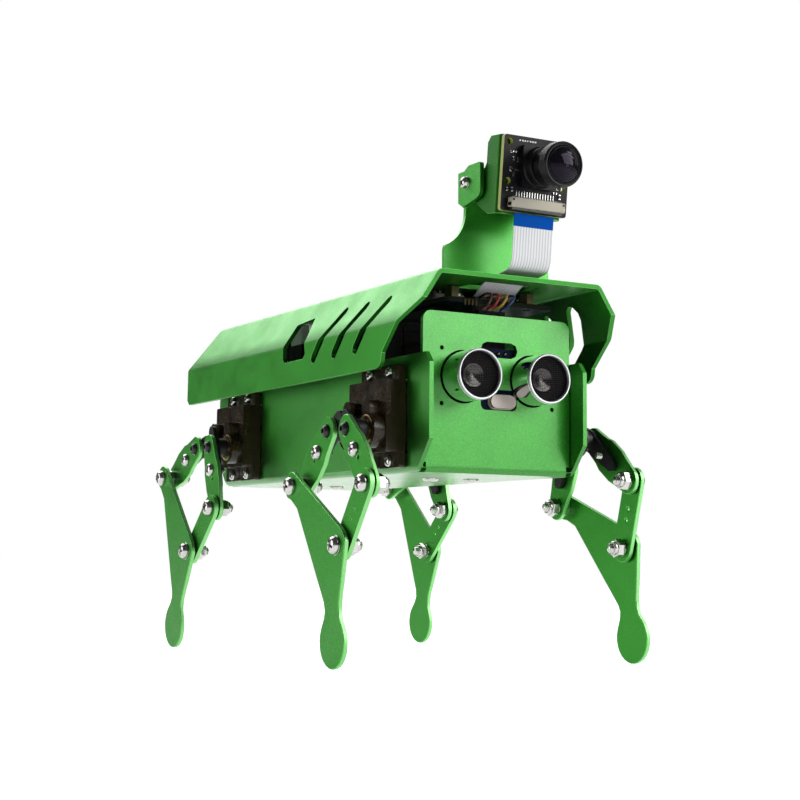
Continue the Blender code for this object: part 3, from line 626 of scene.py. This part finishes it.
def bend_line(corners, reach=2.4, steps=6):
    """Smooth line through a few corner points, each corner rounded over its reach."""
    pts = [Vector(p) for p in corners]
    line = [pts[0]]
    for before, here, after in zip(pts, pts[1:], pts[2:]):
        r = min(reach, (here - before).length * 0.45, (after - here).length * 0.45)
        a = here + (before - here).normalized() * r
        b = here + (after - here).normalized() * r
        for i in range(steps + 1):
            t = i / steps
            line.append(a * (1 - t) ** 2 + here * 2 * t * (1 - t) + b * t * t)
    line.append(pts[-1])
    return line


class Build:
    """Collects shapes, each with a finish, into one piece; its matrix places shapes that bring none."""

    def __init__(self, matrix=DRAWING):
        self.matrix = matrix
        self.bm = bmesh.new()
        self.looks = []

    def add(self, part, look, matrix=None):
        if look not in self.looks:
            self.looks.append(look)
        part.transform(self.matrix if matrix is None else matrix)
        for face in part.faces:
            face.material_index = self.looks.index(look)
        mesh = to_mesh("part", part)
        self.bm.from_mesh(mesh)
        bpy.data.meshes.remove(mesh)

    def piece(self, name, body, replaces=(), smooth=38.0, ride=True):
        for face in self.bm.faces:
            face.smooth = True
        mesh = to_mesh(name, self.bm)
        mesh.set_sharp_from_angle(angle=math.radians(smooth))
        for look in self.looks:
            mesh.materials.append(look.mat)
        ob = place(name, mesh)
        if ride:
            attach(ob, body)
        if replaces:
            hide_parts(*replaces)
        return ob


# ---------------------------------------------------------------- sheet metal kept from the CAD

def dress(name, look, width, edge=None):
    """A CAD node keeps its shape, with its own finish and rounded edges; where asked, its bevels take a
    lighter finish, partly edge wear and partly a painted highlight.
    """
    ob = frame["nodes"][name]
    ob.data.materials.clear()
    ob.data.materials.append(look.mat)
    weld = ob.modifiers.new("weld", "WELD")
    weld.merge_threshold = 1e-6
    flat = ob.modifiers.new("flat", "DECIMATE")
    flat.decimate_type = "DISSOLVE"
    flat.angle_limit = math.radians(0.6)
    bevel = ob.modifiers.new("edges", "BEVEL")
    bevel.width = width * MM
    bevel.segments = 2
    bevel.limit_method = "ANGLE"
    bevel.angle_limit = math.radians(32.0)
    bevel.harden_normals = False
    # the bevel faces take the lighter edge finish, partly wear and partly a painted highlight
    if edge:
        ob.data.materials.append(edge.mat)
        bevel.material = 1
    even = ob.modifiers.new("shade", "WEIGHTED_NORMAL")
    even.keep_sharp = False
    even.weight = 80


def dress_sheets():
    """Finishes of every CAD node that is carried over."""
    dress("chassis_tray", GREEN, 0.18, GREEN_EDGE_WEAR_AND_SHEEN)
    dress("top_cover", GREEN_COVER, 0.14, GREEN_EDGE_WEAR_AND_SHEEN)
    soften_fold(GREEN_COVER, frame["nodes"]["top_cover"])
    dress("neck_bracket", GREEN_NECK_LIT, 0.18, GREEN_EDGE_WEAR_AND_SHEEN)
    # painted highlight on the legs' cut edges, painted shade on the cover's front and rear edges
    paint_cut_light(GREEN_LEG, "Y", 0.0, PAINTED_CUT_HIGHLIGHT)
    paint_cut_light(GREEN_COVER, "X", 1.0, PAINTED_CUT_SHADE)
    dress("camera_bracket", GREEN_HEAD_SHADED, 0.18, GREEN_EDGE_WEAR_AND_SHEEN)
    for corner in CORNERS:
        for part in ("crank_rear", "crank_front", "link", "leg"):
            dress(f"{corner}_{part}", GREEN_LEG, 0.24, GREEN_EDGE_WEAR_AND_SHEEN)
        for part in ("horn_rear", "horn_front"):
            dress(f"{corner}_{part}", HORN_BLACK, 0.2)
    dress("battery_pack", WRAP, 0.3)
    for side in ("right", "left"):
        dress(f"board_post_{side}", BRASS, 0.15)


# ---------------------------------------------------------------- legs

def joint_spot(name):
    for joint in frame["joints"]:
        if joint["name"] == name:
            return drawn(joint["pos_m"])
    raise ValueError(name)


def box_middle(node):
    lo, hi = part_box(node)
    return drawn((lo + hi) / 2)


def side_of(corner):
    return -1.0 if corner.endswith("right") else 1.0


def nut(build, axle, base, half=2.75):
    """Lock nut with its nylon ring, facing down from a base height."""
    k = half / 2.75
    profile = [(0.0, base), (2.45 * k, base, 6), (2.75 * k, base - 0.3, 6), (2.75 * k, base - 2.3 * k, 6)]
    profile += [(2.6 * k, base - 2.55 * k, 6), (2.3 * k, base - 2.65 * k), (2.3 * k, base - 3.4 * k)]
    profile += [(2.05 * k, base - 3.75 * k), (1.85 * k, base - 3.75 * k), (1.8 * k, base - 3.5 * k)]
    profile += [(0.0, base - 3.5 * k)]
    build.add(lathe(profile, 48), STEEL, axle)
    build.add(lathe([(0.0, base - 3.4 * k), (1.82 * k, base - 3.4 * k), (1.78 * k, base - 3.62 * k),
                     (1.5 * k, base - 3.66 * k), (0.0, base - 3.6 * k)], 32), NYLON, axle)


def washer(build, lo, hi, radius):
    build.add(lathe([(0.0, lo), (radius - 0.06, lo), (radius, lo + 0.06), (radius, hi - 0.06),
                     (radius - 0.06, hi), (0.0, hi)], 36), STEEL)


def pivot_bolt(node, body, side, head, base, washers, turn):
    """Pan-head bolt, washers, lock nut and threaded tip in place of a CAD bolt."""
    spot = box_middle(node)
    axle = seat((spot.x, 0.0, spot.z), (0.0, side, 0.0))
    build = Build(axle)
    cross_head(build, 2.9, 1.9, axle @ lift(head, turn))
    build.add(threaded(1.5, base - 4.95, head + 0.1), STEEL)
    for lo, hi, radius in washers:
        washer(build, lo, hi, radius)
    nut(build, axle @ lift(0.0, turn * 0.7), base=base)
    build.piece(node + "_detail", body, [node])


def crank_screws(corner, which, side, chance):
    """The screw that ties a crank to its horn, and the black dome on the servo shaft."""
    shaft = joint_spot(f"{corner}_{which}_crank_turn")
    knee = box_middle(f"{corner}_bolt_{which}")
    along = Vector((knee.x - shaft.x, 0.0, knee.z - shaft.z)).normalized()
    spot = Vector((shaft.x, 0.0, shaft.z)) + along * 9.0
    axle = seat(spot, (0.0, side, 0.0))
    build = Build(axle)
    cross_head(build, 2.45, 1.55, axle @ lift(CRANK[1] + 0.02, chance.uniform(0, 3)))
    build.add(threaded(1.0, HORN[0] - 2.0, CRANK[1], 0.35), STEEL)
    build.piece(f"{corner}_{which}_crank_screw", f"{corner}_{which}_crank_body")
    dome = [(0.0, 45.9), (1.95, 45.9), (1.95, 48.5), (1.8, 49.0), (1.4, 49.35), (0.9, 49.55), (0.8, 49.5)]
    dome += [(0.75, 48.9), (0.0, 48.8)]
    build = Build(seat((shaft.x, 0.0, shaft.z), (0.0, side, 0.0)))
    build.add(lathe(dome, 32), BLACK)
    build.piece(f"{corner}_{which}_shaft_screw", f"{corner}_{which}_crank_body")


def leg_hardware(corner, chance):
    """A leg's three pivot bolts, each through an outer and an inner layer, and its crank screws."""
    side = side_of(corner)
    small = 2.7
    for where, body, inner, outer, cap, spacer in (
        ("rear", "rear_crank_body", CRANK, LEG, small, 3.0),
        ("front", "front_crank_body", CRANK, LINK, small, small),
        ("low", "link_body", LINK, LEG, 3.1, small),
    ):
        head, base = outer[1] + GAP, inner[0] - GAP
        washers = [(outer[1], head, cap), (inner[1] + CLEAR, outer[0] - CLEAR, spacer),
                   (base, inner[0], small)]
        pivot_bolt(f"{corner}_bolt_{where}", f"{corner}_{body}", side, head, base, washers,
                   chance.uniform(0, 3))
    for which in ("rear", "front"):
        crank_screws(corner, which, side, chance)


# ---------------------------------------------------------------- servos

def gear(radius, lo, hi, teeth):
    """Small gear wheel with blunt teeth."""
    outline = []
    for i in range(teeth):
        a = 360.0 * i / teeth
        for r, step in ((radius - 0.45, 0.1), (radius, 0.32), (radius, 0.58), (radius - 0.45, 0.8)):
            outline.append(arc(0.0, 0.0, r, a + step * 360.0 / teeth, 0.0, 1)[0])
    return slab(outline, lo, hi)


def servo(corner, which, side):
    """Micro servo: three-part smoky case, ears, geared turret and its two screws."""
    name = f"{corner}_servo_{which}"
    shaft = joint_spot(f"{corner}_{which}_crank_turn")
    # local axes: Z outward along the shaft, Y up, X forward or back
    axle = seat((shaft.x, 0.0, SERVO_Z), (0.0, side, 0.0))
    half, tall = 6.05, 11.35
    build = Build(axle)
    for lo, hi, shrink in ((14.05, 28.6, 0.0), (28.6, 33.9, 0.12), (34.0, 36.85, 0.0)):
        outline = rounded(-half + shrink, -tall + shrink, half - shrink, tall - shrink, 0.7)
        build.add(slab(outline, lo, hi, bevel=0.18), SMOKE)
    ear = rounded(-half, -16.15, half, 16.15, 0.9)
    holes = [ring(0.0, up * 14.0, 1.05, 20) for up in (-1, 1)]
    build.add(slab(ear, 29.95, EAR_FACE - 0.02, holes, bevel=0.12), SMOKE)
    for up in (-1, 1):
        ends = (up * 13.0 - 1.6 * (up < 0), up * 13.0 + 1.6 * (up > 0) - 1.2 * up)
        build.add(block((-0.5, ends[0], 32.3), (0.5, ends[1], 32.7), 0.05), SMOKE)
        screw = axle @ shift(0.0, up * 14.0)
        cross_head(build, 1.75, 1.15, screw @ lift(EAR_FACE, up))
        build.add(threaded(0.95, 28.0, EAR_FACE, 0.35), STEEL, screw)
    drop = SHAFT_Z - SERVO_Z
    turret = arc(0.0, drop, 5.8, 115, 425, 40) + arc(0.0, drop + 7.0, 2.7, -20, 200, 14)
    build.add(slab(turret, 36.8, 40.85, bevel=0.35), SMOKE)
    hub = axle @ shift(0.0, drop)
    build.add(gear(4.9, 38.6, 40.2, 22), GEAR_BRASS, hub)
    build.add(lathe([(0.0, 37.0), (2.9, 37.0), (2.9, 41.2), (2.4, 41.3), (0.0, 41.3)], 24), GEAR_BRASS, hub)
    bearing = [(0.0, 40.65), (4.75, 40.7), (4.75, 40.9), (4.6, 41.0), (4.2, 41.0), (4.1, 40.88)]
    build.add(lathe(bearing + [(0.0, 40.88)], 40), GEAR_BRASS, hub)
    build.add(gear(2.3, 37.4, 39.0, 12), GEAR_BRASS, hub @ shift(0.0, 7.0))
    build.add(gear(4.4, 34.4, 35.4, 20), TIN, hub @ shift(0.6, 9.0))
    build.piece(name + "_detail", "chassis", [name])


# ---------------------------------------------------------------- sensors on the front plate

PITCH = 2.54  # of header pins
HEADER_START = -1.5 * PITCH  # first pin of the sensor's four


def transducer(node, side):
    """Polished barrel with a rolled rim, wire grille and the small cone behind it."""
    build = Build(seat((0.0, side * EYE_Y, EYE_Z), (1.0, 0.0, 0.0)))
    barrel = [(0.0, -1.5), (8.03, -1.5), (8.03, 9.35), (7.9, 9.45), (7.9, 9.55), (8.03, 9.65), (8.05, 10.0)]
    rim = [(8.05, 9.95), (7.98, 10.3), (7.75, 10.5), (7.45, 10.48), (7.25, 10.2), (7.2, 9.6)]
    build.add(lathe(barrel + [(7.3, 10.0), (7.3, 4.6), (0.0, 4.6)], 72), SILVER)
    build.add(lathe([(7.3, 4.7)] + rim + [(7.2, 4.7)], 72), RIM)
    wall = [(0.0, 4.62), (7.26, 4.62), (7.26, 9.5), (7.1, 9.4), (7.0, 4.8), (0.0, 4.8)]
    build.add(lathe(wall, 48), INNER_BLACK)
    cone = [(0.0, 5.2), (0.8, 5.25), (0.9, 5.5), (1.8, 5.78), (1.9, 5.7), (2.8, 6.02), (2.9, 5.94)]
    cone += [(3.7, 6.22), (3.85, 6.12), (3.8, 5.0), (0.0, 4.9)]
    build.add(lathe(cone, 40), CONE)
    pitch, half = 0.66, 0.035
    count = int(7.0 / pitch)
    for i in range(-count, count + 1):
        across = i * pitch
        reach = math.sqrt(max(0.01, 7.15 ** 2 - across ** 2))
        dip = 9.0 - 0.015 * across ** 2
        build.add(brick(across, 0.0, half, reach, dip, dip + 0.07, 0), GRILLE)
        build.add(brick(0.0, across, reach, half, dip + 0.06, dip + 0.13, 0), GRILLE)
    build.piece(node + "_detail", "chassis", [node])


def chip(build, x, y, w, h, tall, legs):
    """Surface part on a board, with a row of tinned legs on each side."""
    build.add(brick(x, y, w / 2, h / 2, 0.0, tall, min(0.12, tall / 4)), CHIP)
    for i in range(legs):
        foot = y - h / 2 + (i + 0.5) * h / legs
        build.add(brick(x, foot, w / 2 + 0.6, 0.14, 0.0, 0.3, 0.03), TIN)


def resistor(build, x, y, turn, size=1.0):
    spot = build.matrix @ shift(x, y) @ Matrix.Rotation(turn, 4, "Z")
    build.add(brick(0.0, 0.0, 0.8 * size, 0.4 * size, 0.0, 0.45 * size, 0.04), TIN, spot)
    build.add(brick(0.0, 0.0, 0.5 * size, 0.41 * size, 0.01, 0.5 * size, 0.04), CHIP, spot)


def pin(build, x, y, lo, hi):
    """Square header pin standing on a board."""
    build.add(brick(x, y, 0.32, 0.32, lo, hi, 0.08), BRASS)


def circuit_board(build, outline, holes, core, mask, inset=0.04):
    """Board 1.6 mm thick under height 0: its core shows at the rim between two masked faces."""
    build.add(slab(outline, inset - 1.6, -inset, holes), core)
    build.add(slab(outline, -0.05, 0.0, holes), mask)
    build.add(slab(outline, -1.6, -1.55, holes), mask)


def ultrasonic():
    """Sensor board behind the front plate: mask, parts, crystal can and pin header."""
    face = seat((-1.8, 0.0, EYE_Z), (1.0, 0.0, 0.0))
    build = Build(face)
    outline = rounded(-22.4, -9.95, 22.4, 9.95, 0.8)
    holes = [ring(x, y, 0.75, 20) for x in (-20.9, 20.9) for y in (-8.74, 8.74)]
    circuit_board(build, outline, holes, FIBRE, NAVY, inset=0.03)
    can = [(x + 2.35, y - 7.15) for x, y in rounded(-4.75, -2.05, 4.75, 2.05, 2.0, 10)]
    lip = [(x + 2.35, y - 7.15) for x, y in rounded(-5.3, -2.4, 5.3, 2.4, 2.3, 10)]
    build.add(slab(lip, 0.0, 0.5, bevel=0.15), CAN)
    build.add(slab(can, 0.3, 1.7, bevel=0.3), CAN)
    build.matrix = seat((-3.4, 0.0, EYE_Z), (-1.0, 0.0, 0.0))
    for x, y, w, h in ((-11.0, 1.0, 4.0, 8.6), (0.5, 1.0, 4.0, 8.6), (12.0, 1.5, 4.0, 5.0)):
        chip(build, x, y, w, h, 1.5, legs=7)
    for i in range(4):
        x = HEADER_START + PITCH * i
        build.add(block((x - 1.22, 7.1, 0.1), (x + 1.22, 9.6, 2.5), 0.12), BLACK)
        build.add(block((x - 0.32, 9.4, 0.9), (x + 0.32, 14.0, 1.54), 0.1), BRASS)
        build.add(block((x - 1.22, 9.7, 0.1), (x + 1.22, 22.4, 2.5), 0.1), INNER_BLACK)
        build.add(lathe([(0.0, 0.0), (0.75, 0.0), (0.6, 0.4), (0.3, 0.6), (0.0, 0.65)], 14), CONE,
                  face @ shift(-x, 8.35))
    build.piece("ultrasonic_board_detail", "chassis", ["ultrasonic_board"])


# ---------------------------------------------------------------- camera head

HEAD = DRAWING @ Matrix.Translation(HINGE) @ Matrix.Rotation(TILT, 4, "Y")
CAMERA_FACE = HEAD @ Matrix((
    (0.0, 0.0, 1.0, CAMERA_BOARD_FACE), (1.0, 0.0, 0.0, 0.0), (0.0, 1.0, 0.0, 0.0), (0.0, 0.0, 0.0, 1.0)))


def camera_board(chance):
    """Black camera board, its parts and silkscreen ticks; X is across and Y is up here."""
    build = Build(CAMERA_FACE)
    outline = rounded(-12.5, -9.7, 12.5, 14.3, 0.9)
    corners = [(x, y) for y in (12.2, -0.3) for x in (-10.4, 10.4)]
    holes = [ring(x, y, 1.1, 24) for x, y in corners]
    circuit_board(build, outline, holes, FIBRE, MASK)
    for x, y in corners:
        build.add(slab(ring(x, y, 1.45, 28), 0.0, 0.03, [ring(x, y, 1.12, 24)]), TRACE)
    for x, y, turn in (
        (-8.6, 9.0, 0), (-8.9, 6.9, 1.57), (-7.1, 6.6, 1.57), (-9.6, 3.9, 0), (-7.4, 3.4, 0),
        (-8.6, 1.9, 1.57), (-10.6, -2.9, 1.57), (-8.8, -2.8, 1.57), (7.6, -2.3, 0),
        (9.4, -3.3, 1.57), (8.8, 2.2, 0), (9.4, 8.6, 1.57),
    ):
        resistor(build, x, y, turn, chance.uniform(0.75, 1.0))
    chip(build, -8.4, -6.6, 2.0, 3.0, 0.9, legs=3)
    chip(build, 9.2, 5.2, 2.2, 3.0, 0.9, legs=3)
    for i in range(7):
        x = -6.9 + i * 0.95
        tick = block((x, 12.7, 0.0), (x + chance.uniform(0.35, 0.7), 13.15, 0.03), 0)
        build.add(tick, PRINT)
    for x, y in ((-9.9, 8.6), (-6.6, 8.5), (-9.9, 2.8), (8.2, -1.2), (-5.6, -1.4)):
        build.add(block((x, y, 0.0), (x + 0.7, y + 0.14, 0.03), 0), PRINT)
        build.add(block((x, y, 0.0), (x + 0.14, y + 0.7, 0.03), 0), PRINT)
    build.piece("camera_board_detail", "camera_head", ["camera_board"])


def camera_lens():
    """Threaded holder, ribbed barrel, wide hood and a coated domed glass."""
    axle = CAMERA_FACE @ shift(0.0, 4.8)
    build = Build(axle)
    base = rounded(-6.7, -6.7, 6.7, 6.7, 1.2)
    build.add(slab(base, 0.05, 2.3, bevel=0.25), LENS_BLACK)
    holder = [(0.0, 0.3), (6.6, 0.3), (6.6, 2.6), (6.25, 3.1), (6.2, 5.9), (6.0, 6.2), (5.5, 6.25)]
    for i in range(6):
        z = 6.35 + i * 0.68
        holder += [(5.5, z), (5.5, z + 0.34), (5.2, z + 0.42), (5.2, z + 0.6)]
    holder += [(5.6, 10.5), (6.7, 11.2), (6.95, 11.6), (7.0, 12.0)]
    for i in range(5):
        z = 12.1 + i * 0.56
        holder += [(7.12, z), (7.12, z + 0.34), (7.0, z + 0.4), (7.0, z + 0.5)]
    holder += [(7.13, 14.9), (7.0, 15.3), (6.75, 15.5), (6.45, 15.45), (6.3, 15.1), (6.1, 15.1)]
    holder += [(6.0, 15.3), (5.75, 15.5), (5.6, 15.35), (5.5, 15.5), (0.0, 15.5)]
    build.add(lathe(holder, 72), LENS_BLACK)
    dome = [(5.4, 15.4), (5.35, 15.7), (5.0, 15.95), (4.9, 15.88), (4.2, 16.3), (4.1, 16.22), (3.4, 16.6)]
    dome += [(3.3, 16.52), (2.5, 16.85), (2.4, 16.78), (1.7, 17.02), (0.9, 17.15), (0.0, 17.2)]
    build.add(lathe([(0.0, 15.2)] + dome, 56), GLASS)
    build.piece("camera_lens_detail", "camera_head", ["camera_lens"], smooth=28.0)


def camera_connector():
    """Flat-cable socket: dark body, cream latch with end tabs and a row of fine contacts."""
    build = Build(CAMERA_FACE)
    build.add(block((-9.6, -8.9, 0.3), (9.6, -4.95, 1.9), 0.15), BLACK)
    build.add(block((-9.6, -9.28, 0.35), (9.6, -8.5, 2.3), 0.12), BLACK)
    build.add(block((-10.2, -8.55, 0.5), (10.2, -5.45, 2.85), 0.2), CREAM)
    for side in (-1, 1):
        x = side * 9.45
        build.add(block((x - 0.75, -8.2, 0.3), (x + 0.75, -6.9, 2.9), 0.12), CREAM)
        build.add(block((x - 0.5, -6.6, 2.5), (x + 0.5, -5.7, 2.88), 0.08), CHIP)
    for i in range(15):
        x = -7.0 + i
        build.add(block((x - 0.13, -5.6, 0.05), (x + 0.13, -3.1, 0.3), 0.03), STEEL)
        build.add(block((x - 0.14, -5.46, 0.3), (x + 0.14, -5.0, 2.0), 0.03), DARK_STEEL)
    build.piece("camera_connector_detail", "camera_head", ["camera_connector"])


def flat_cable():
    """Flat cable from the socket into the roof, with its stiffener; its shape is fixed and it rides on no
    body.
    """
    corners = [(14.85, 81.3), (13.45, 67.05), (11.8, 64.05), (-3.05, 61.75), (-10.35, 57.15)]
    line = bend_line(corners + [(-13.6, 57.15)], 2.4, 10)
    stiff = [line[0], line[0].lerp(line[1], 0.315)]
    for name, pts, look, half, rise in (
        ("camera_cable_detail", line, RIBBON, 7.35, 1.0),
        ("cable_stiffener", stiff, BLUE, 7.4, 1.8),
    ):
        bm = bmesh.new()
        rows = []
        for i, p in enumerate(pts):
            along = (pts[min(i + 1, len(pts) - 1)] - pts[max(i - 1, 0)]).normalized()
            out = Vector((-along.y, along.x)) * 0.14
            top, under = p + out * rise, p - out
            rows.append([bm.verts.new((q.x, HEAD_Y + y, q.y))
                         for q, y in ((top, -half), (top, half), (under, half), (under, -half))])
        build = Build()
        build.add(skin(bm, rows, 4), look)
        old = ["camera_cable"] if pts is line else []
        ob = build.piece(name, None, old, ride=False)
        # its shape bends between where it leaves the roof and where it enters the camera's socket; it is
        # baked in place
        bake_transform(ob)


def hinge_bolt():
    axle = seat(HINGE, (0.0, -1.0, 0.0))
    build = Build(axle)
    cross_head(build, 2.0, 1.6, axle @ lift(14.5, 0.6))
    washer(build, 14.22, 14.5, 2.1)
    build.add(threaded(1.0, -16.9, 14.5, 0.4), STEEL)
    nut(build, axle, base=-14.3, half=1.95)
    build.piece("tilt_bolt_detail", "camera_head", ["tilt_bolt"])


# ---------------------------------------------------------------- boards and screws on the body

def main_board(chance):
    """Controller under the roof: headers, chips, capacitors and its four stand-offs."""
    face = DRAWING @ shift(0.0, 0.0, MAIN_Z)
    build = Build(face)
    outline = rounded(-69.0, -18.5, -1.5, 22.5, 2.5)
    holes = [ring(x, y, 1.4, 20) for x, y in BOARD_SCREWS]
    circuit_board(build, outline, holes, SHADED_FIBRE, NAVY)
    post = [(0.0, -0.7), (2.0, -0.7, 6), (2.2, -0.5, 6), (2.2, 3.55, 6), (2.0, 3.75, 6), (0.0, 3.75)]
    for x, y in BOARD_SCREWS:
        build.add(lathe(post, 24), BRASS, face @ shift(x, y))
    chip(build, -30, -2, 9, 9, 1.2, legs=10)
    chip(build, -44, 6, 6, 8, 1.2, legs=8)
    chip(build, -18, -9, 5, 6, 1.1, legs=6)
    build.add(block((-56.0, 16.6, 0.0), (-12.0, 21.4, 2.5), 0.15), BLACK)
    for i in range(17):
        for y in (17.8, 20.3):
            pin(build, -54.6 + PITCH * i, y, 2.3, 3.9)
    build.add(block((-52.0, -17.6, 0.0), (-12.0, -11.0, 2.4), 0.15), BLACK)
    for i in range(16):
        for y in (-16.4, -14.3, -12.2):
            pin(build, -50.8 + PITCH * i, y, 2.2, 3.8)
    for i in range(22):
        resistor(build, chance.uniform(-60, -6), chance.uniform(-8.5, 14), chance.choice((0.0, 1.57)))
    can = [(0.0, 0.0), (2.4, 0.0), (2.5, 0.3), (2.5, 3.1), (2.3, 3.4), (0.0, 3.4)]
    for y in (2.0, -6.0):
        build.add(lathe(can, 32), TIN, face @ shift(-57.0, y))
    build.add(block((-16.8, -6.0, 0.0), (-12.6, 13.6, 1.7), 0.15), CREAM)
    build.add(block((-17.4, -6.4, 0.1), (-15.9, 14.0, 1.85), 0.12), BLACK)
    for y in (-11.6, -10.2, -8.8, -7.4):
        build.add(block((-1.9, y - 0.35, -2.3), (-1.2, y + 0.35, -0.4), 0.05), TRACE)
    build.piece("main_board_detail", "chassis", ["main_board"])


def sensor_leads():
    """Four short leads from the sensor's plugs round the board's front edge to its header."""
    build = Build()
    for i, shade in enumerate((0, 1, 3, 4)):
        y = HEADER_START + PITCH * i
        spread = y + 1.0 + 0.5 * i
        route = [(-4.7, y, 52.4), (-4.3, y, 53.6), (0.2, y + 0.4, 54.4), (0.9, spread, 57.6),
                 (-3.4, spread, 58.3), (-7.6, spread, 57.0)]
        build.add(tube(bend_line(route), 0.42, 10), WIRES[shade])
    build.add(block((-9.4, -4.6, 56.0), (-6.4, 8.6, 57.6), 0.15), BLACK)
    build.piece("sensor_leads", "chassis")


def power_module():
    """Converter in black shrink tube behind the front plate, hung under the main board."""
    build = Build()
    side = seat((0.0, -12.0, 0.0), (0.0, -1.0, 0.0))
    for x0, x1, swell in ((-58.0, -30.0, 0.0), (-28.5, -7.5, 0.4)):
        sleeve = rounded(x0, 38.6 - swell, x1, 53.4, 2.2)
        build.add(slab(sleeve, -6.0, 6.0 + swell, bevel=0.9), INNER_BLACK, side)
    for z in (42.0, 45.5, 49.0):
        route = [(-29.6, -13.0, z), (-29.0, -18.8, z + 0.6), (-26.0, -19.2, z + 1.2),
                 (-9.0, -19.0, z - 1.0), (-8.0, -14.0, z)]
        build.add(tube(bend_line(route), 0.6, 8), INNER_BLACK)
    build.piece("power_module", "chassis")


def driver_board(chance):
    """Servo driver hung under the roof: plug rows, power plug, chips and stand-offs."""
    face = DRAWING @ shift(0.0, 0.0, DRIVER_Z + 1.6)
    build = Build(face)
    outline = rounded(DRIVER_X[0], -DRIVER_HALF, DRIVER_X[1], DRIVER_HALF, 2.0)
    inset = DRIVER_HALF - 3.5
    spots = [(x, y) for x in (DRIVER_X[0] + 3.5, DRIVER_X[1] - 3.5) for y in (-inset, inset)]
    holes = [ring(x, y, 1.4, 20) for x, y in spots]
    circuit_board(build, outline, holes, SHADED_FIBRE, NAVY)
    post = [(0.0, 0.0), (2.0, 0.0, 6), (2.2, 0.2, 6), (2.2, 15.2, 6), (2.0, 15.4, 6), (0.0, 15.4)]
    for x, y in spots:
        build.add(lathe(post, 24), BLACK, face @ shift(x, y))
        cross_head(build, 2.2, 1.3, seat((x, y, DRIVER_Z), *DOWNWARD) @ lift(0.0, x))
    for i in range(8):
        x = DRIVER_X[0] + 12.0 + 4.6 * i
        for y in (-11.5, 0.5):
            build.add(brick(x, y, 1.9, 3.8, 0.0, 2.5, 0.15), INNER_BLACK)
            build.add(brick(x, y, 1.25, 3.75, 2.6, 12.6, 0.2), INNER_BLACK)
            for k in range(3):
                build.add(brick(x, y + PITCH * (k - 1), 0.4, 0.4, 12.4, 12.75, 0.1), WIRES[k])
    build.add(block((-113.5, -18.6, 6.0), (-104.0, -15.6, 14.3), 0.3), NYLON)
    build.add(block((-114.5, -19.0, 0.0), (-103.0, -15.4, 7.0), 0.3), INNER_BLACK)
    chip(build, -98.0, 11.5, 8, 6, 1.2, legs=8)
    chip(build, -115.0, 11.5, 6, 8, 1.2, legs=8)
    for _ in range(14):
        resistor(build, chance.uniform(-128, -88), chance.uniform(6.5, 17), chance.choice((0.0, 1.57)))
    build.piece("driver_board", "chassis")


def body_screws(chance):
    """Screw heads under the belly, on the roof and on the foot of the neck."""
    build = Build()
    for x, y in ((-34.6, -4.2), (-34.6, 11.8), (-118.0, HEAD_Y)):
        under = seat((x, y, 0.0), *DOWNWARD)
        cross_head(build, 2.7, 1.15, under @ lift(0.02, chance.uniform(0, 3)))
    build.piece("belly_screws", "chassis")
    build = Build()
    for x, y in BOARD_SCREWS:
        top = seat((x, y, ROOF_TOP), *UPWARD)
        cross_head(build, 2.45, 1.5, top @ lift(0.02, chance.uniform(0, 3)))
    for side in (-1, 1):
        top = seat((-17.0, HEAD_Y + side * 9.0, 63.4), *UPWARD)
        cross_head(build, 2.3, 1.4, top @ lift(0.02, chance.uniform(0, 3)))
        build.add(threaded(1.2, -5.2, 0.1, 0.4), STEEL, top)
        nut(build, top, base=-3.35, half=2.2)
    build.piece("roof_screws", "chassis")


def rear_fittings():
    """Rocker switch and round power socket in the rear wall."""
    wall = seat((REAR_WALL, 0.0, 0.0), (-1.0, 0.0, 0.0))
    build = Build(wall)
    build.add(slab(rounded(7.3, 14.3, 19.7, 22.7, 0.7), -6.0, 0.1, bevel=0.1), BLACK)
    window = [rounded(8.4, 15.4, 18.6, 21.6, 0.4)]
    build.add(slab(rounded(6.6, 13.6, 20.4, 23.4, 1.0), 0.02, 0.75, window, 0.1), BLACK)
    rocker = block((8.5, 15.5, 0.0), (18.5, 21.5, 1.5), 0.25)
    for vert in rocker.verts:
        if vert.co.z > 0.8:
            vert.co.z += (vert.co.x - 13.5) * 0.12
    build.add(rocker, HORN_BLACK)
    jack = [(0.0, -6.0), (3.9, -6.0), (3.9, 0.02), (4.7, 0.05), (4.7, 0.8), (4.4, 1.1), (2.9, 1.1)]
    jack += [(2.8, 0.9), (2.8, -4.0), (0.0, -4.0)]
    spot = wall @ shift(-14.0, 18.5)
    build.add(lathe(jack, 48), BLACK, spot)
    build.add(lathe([(0.0, -4.0), (0.95, -4.0), (0.95, 0.1), (0.6, 0.4), (0.0, 0.4)], 24), TIN, spot)
    build.piece("rear_fittings", "chassis")


# ---------------------------------------------------------------- assembly

make_camera()
make_stage()
make_world()
dress_sheets()
CHANCE = random.Random(11)
for corner in CORNERS:
    leg_hardware(corner, CHANCE)
    for which in ("rear", "front"):
        servo(corner, which, side_of(corner))
transducer("transducer_right", -1.0)
transducer("transducer_left", 1.0)
ultrasonic()
camera_board(CHANCE)
camera_lens()
camera_connector()
flat_cable()
hinge_bolt()
main_board(CHANCE)
sensor_leads()
driver_board(CHANCE)
power_module()
body_screws(CHANCE)
rear_fittings()
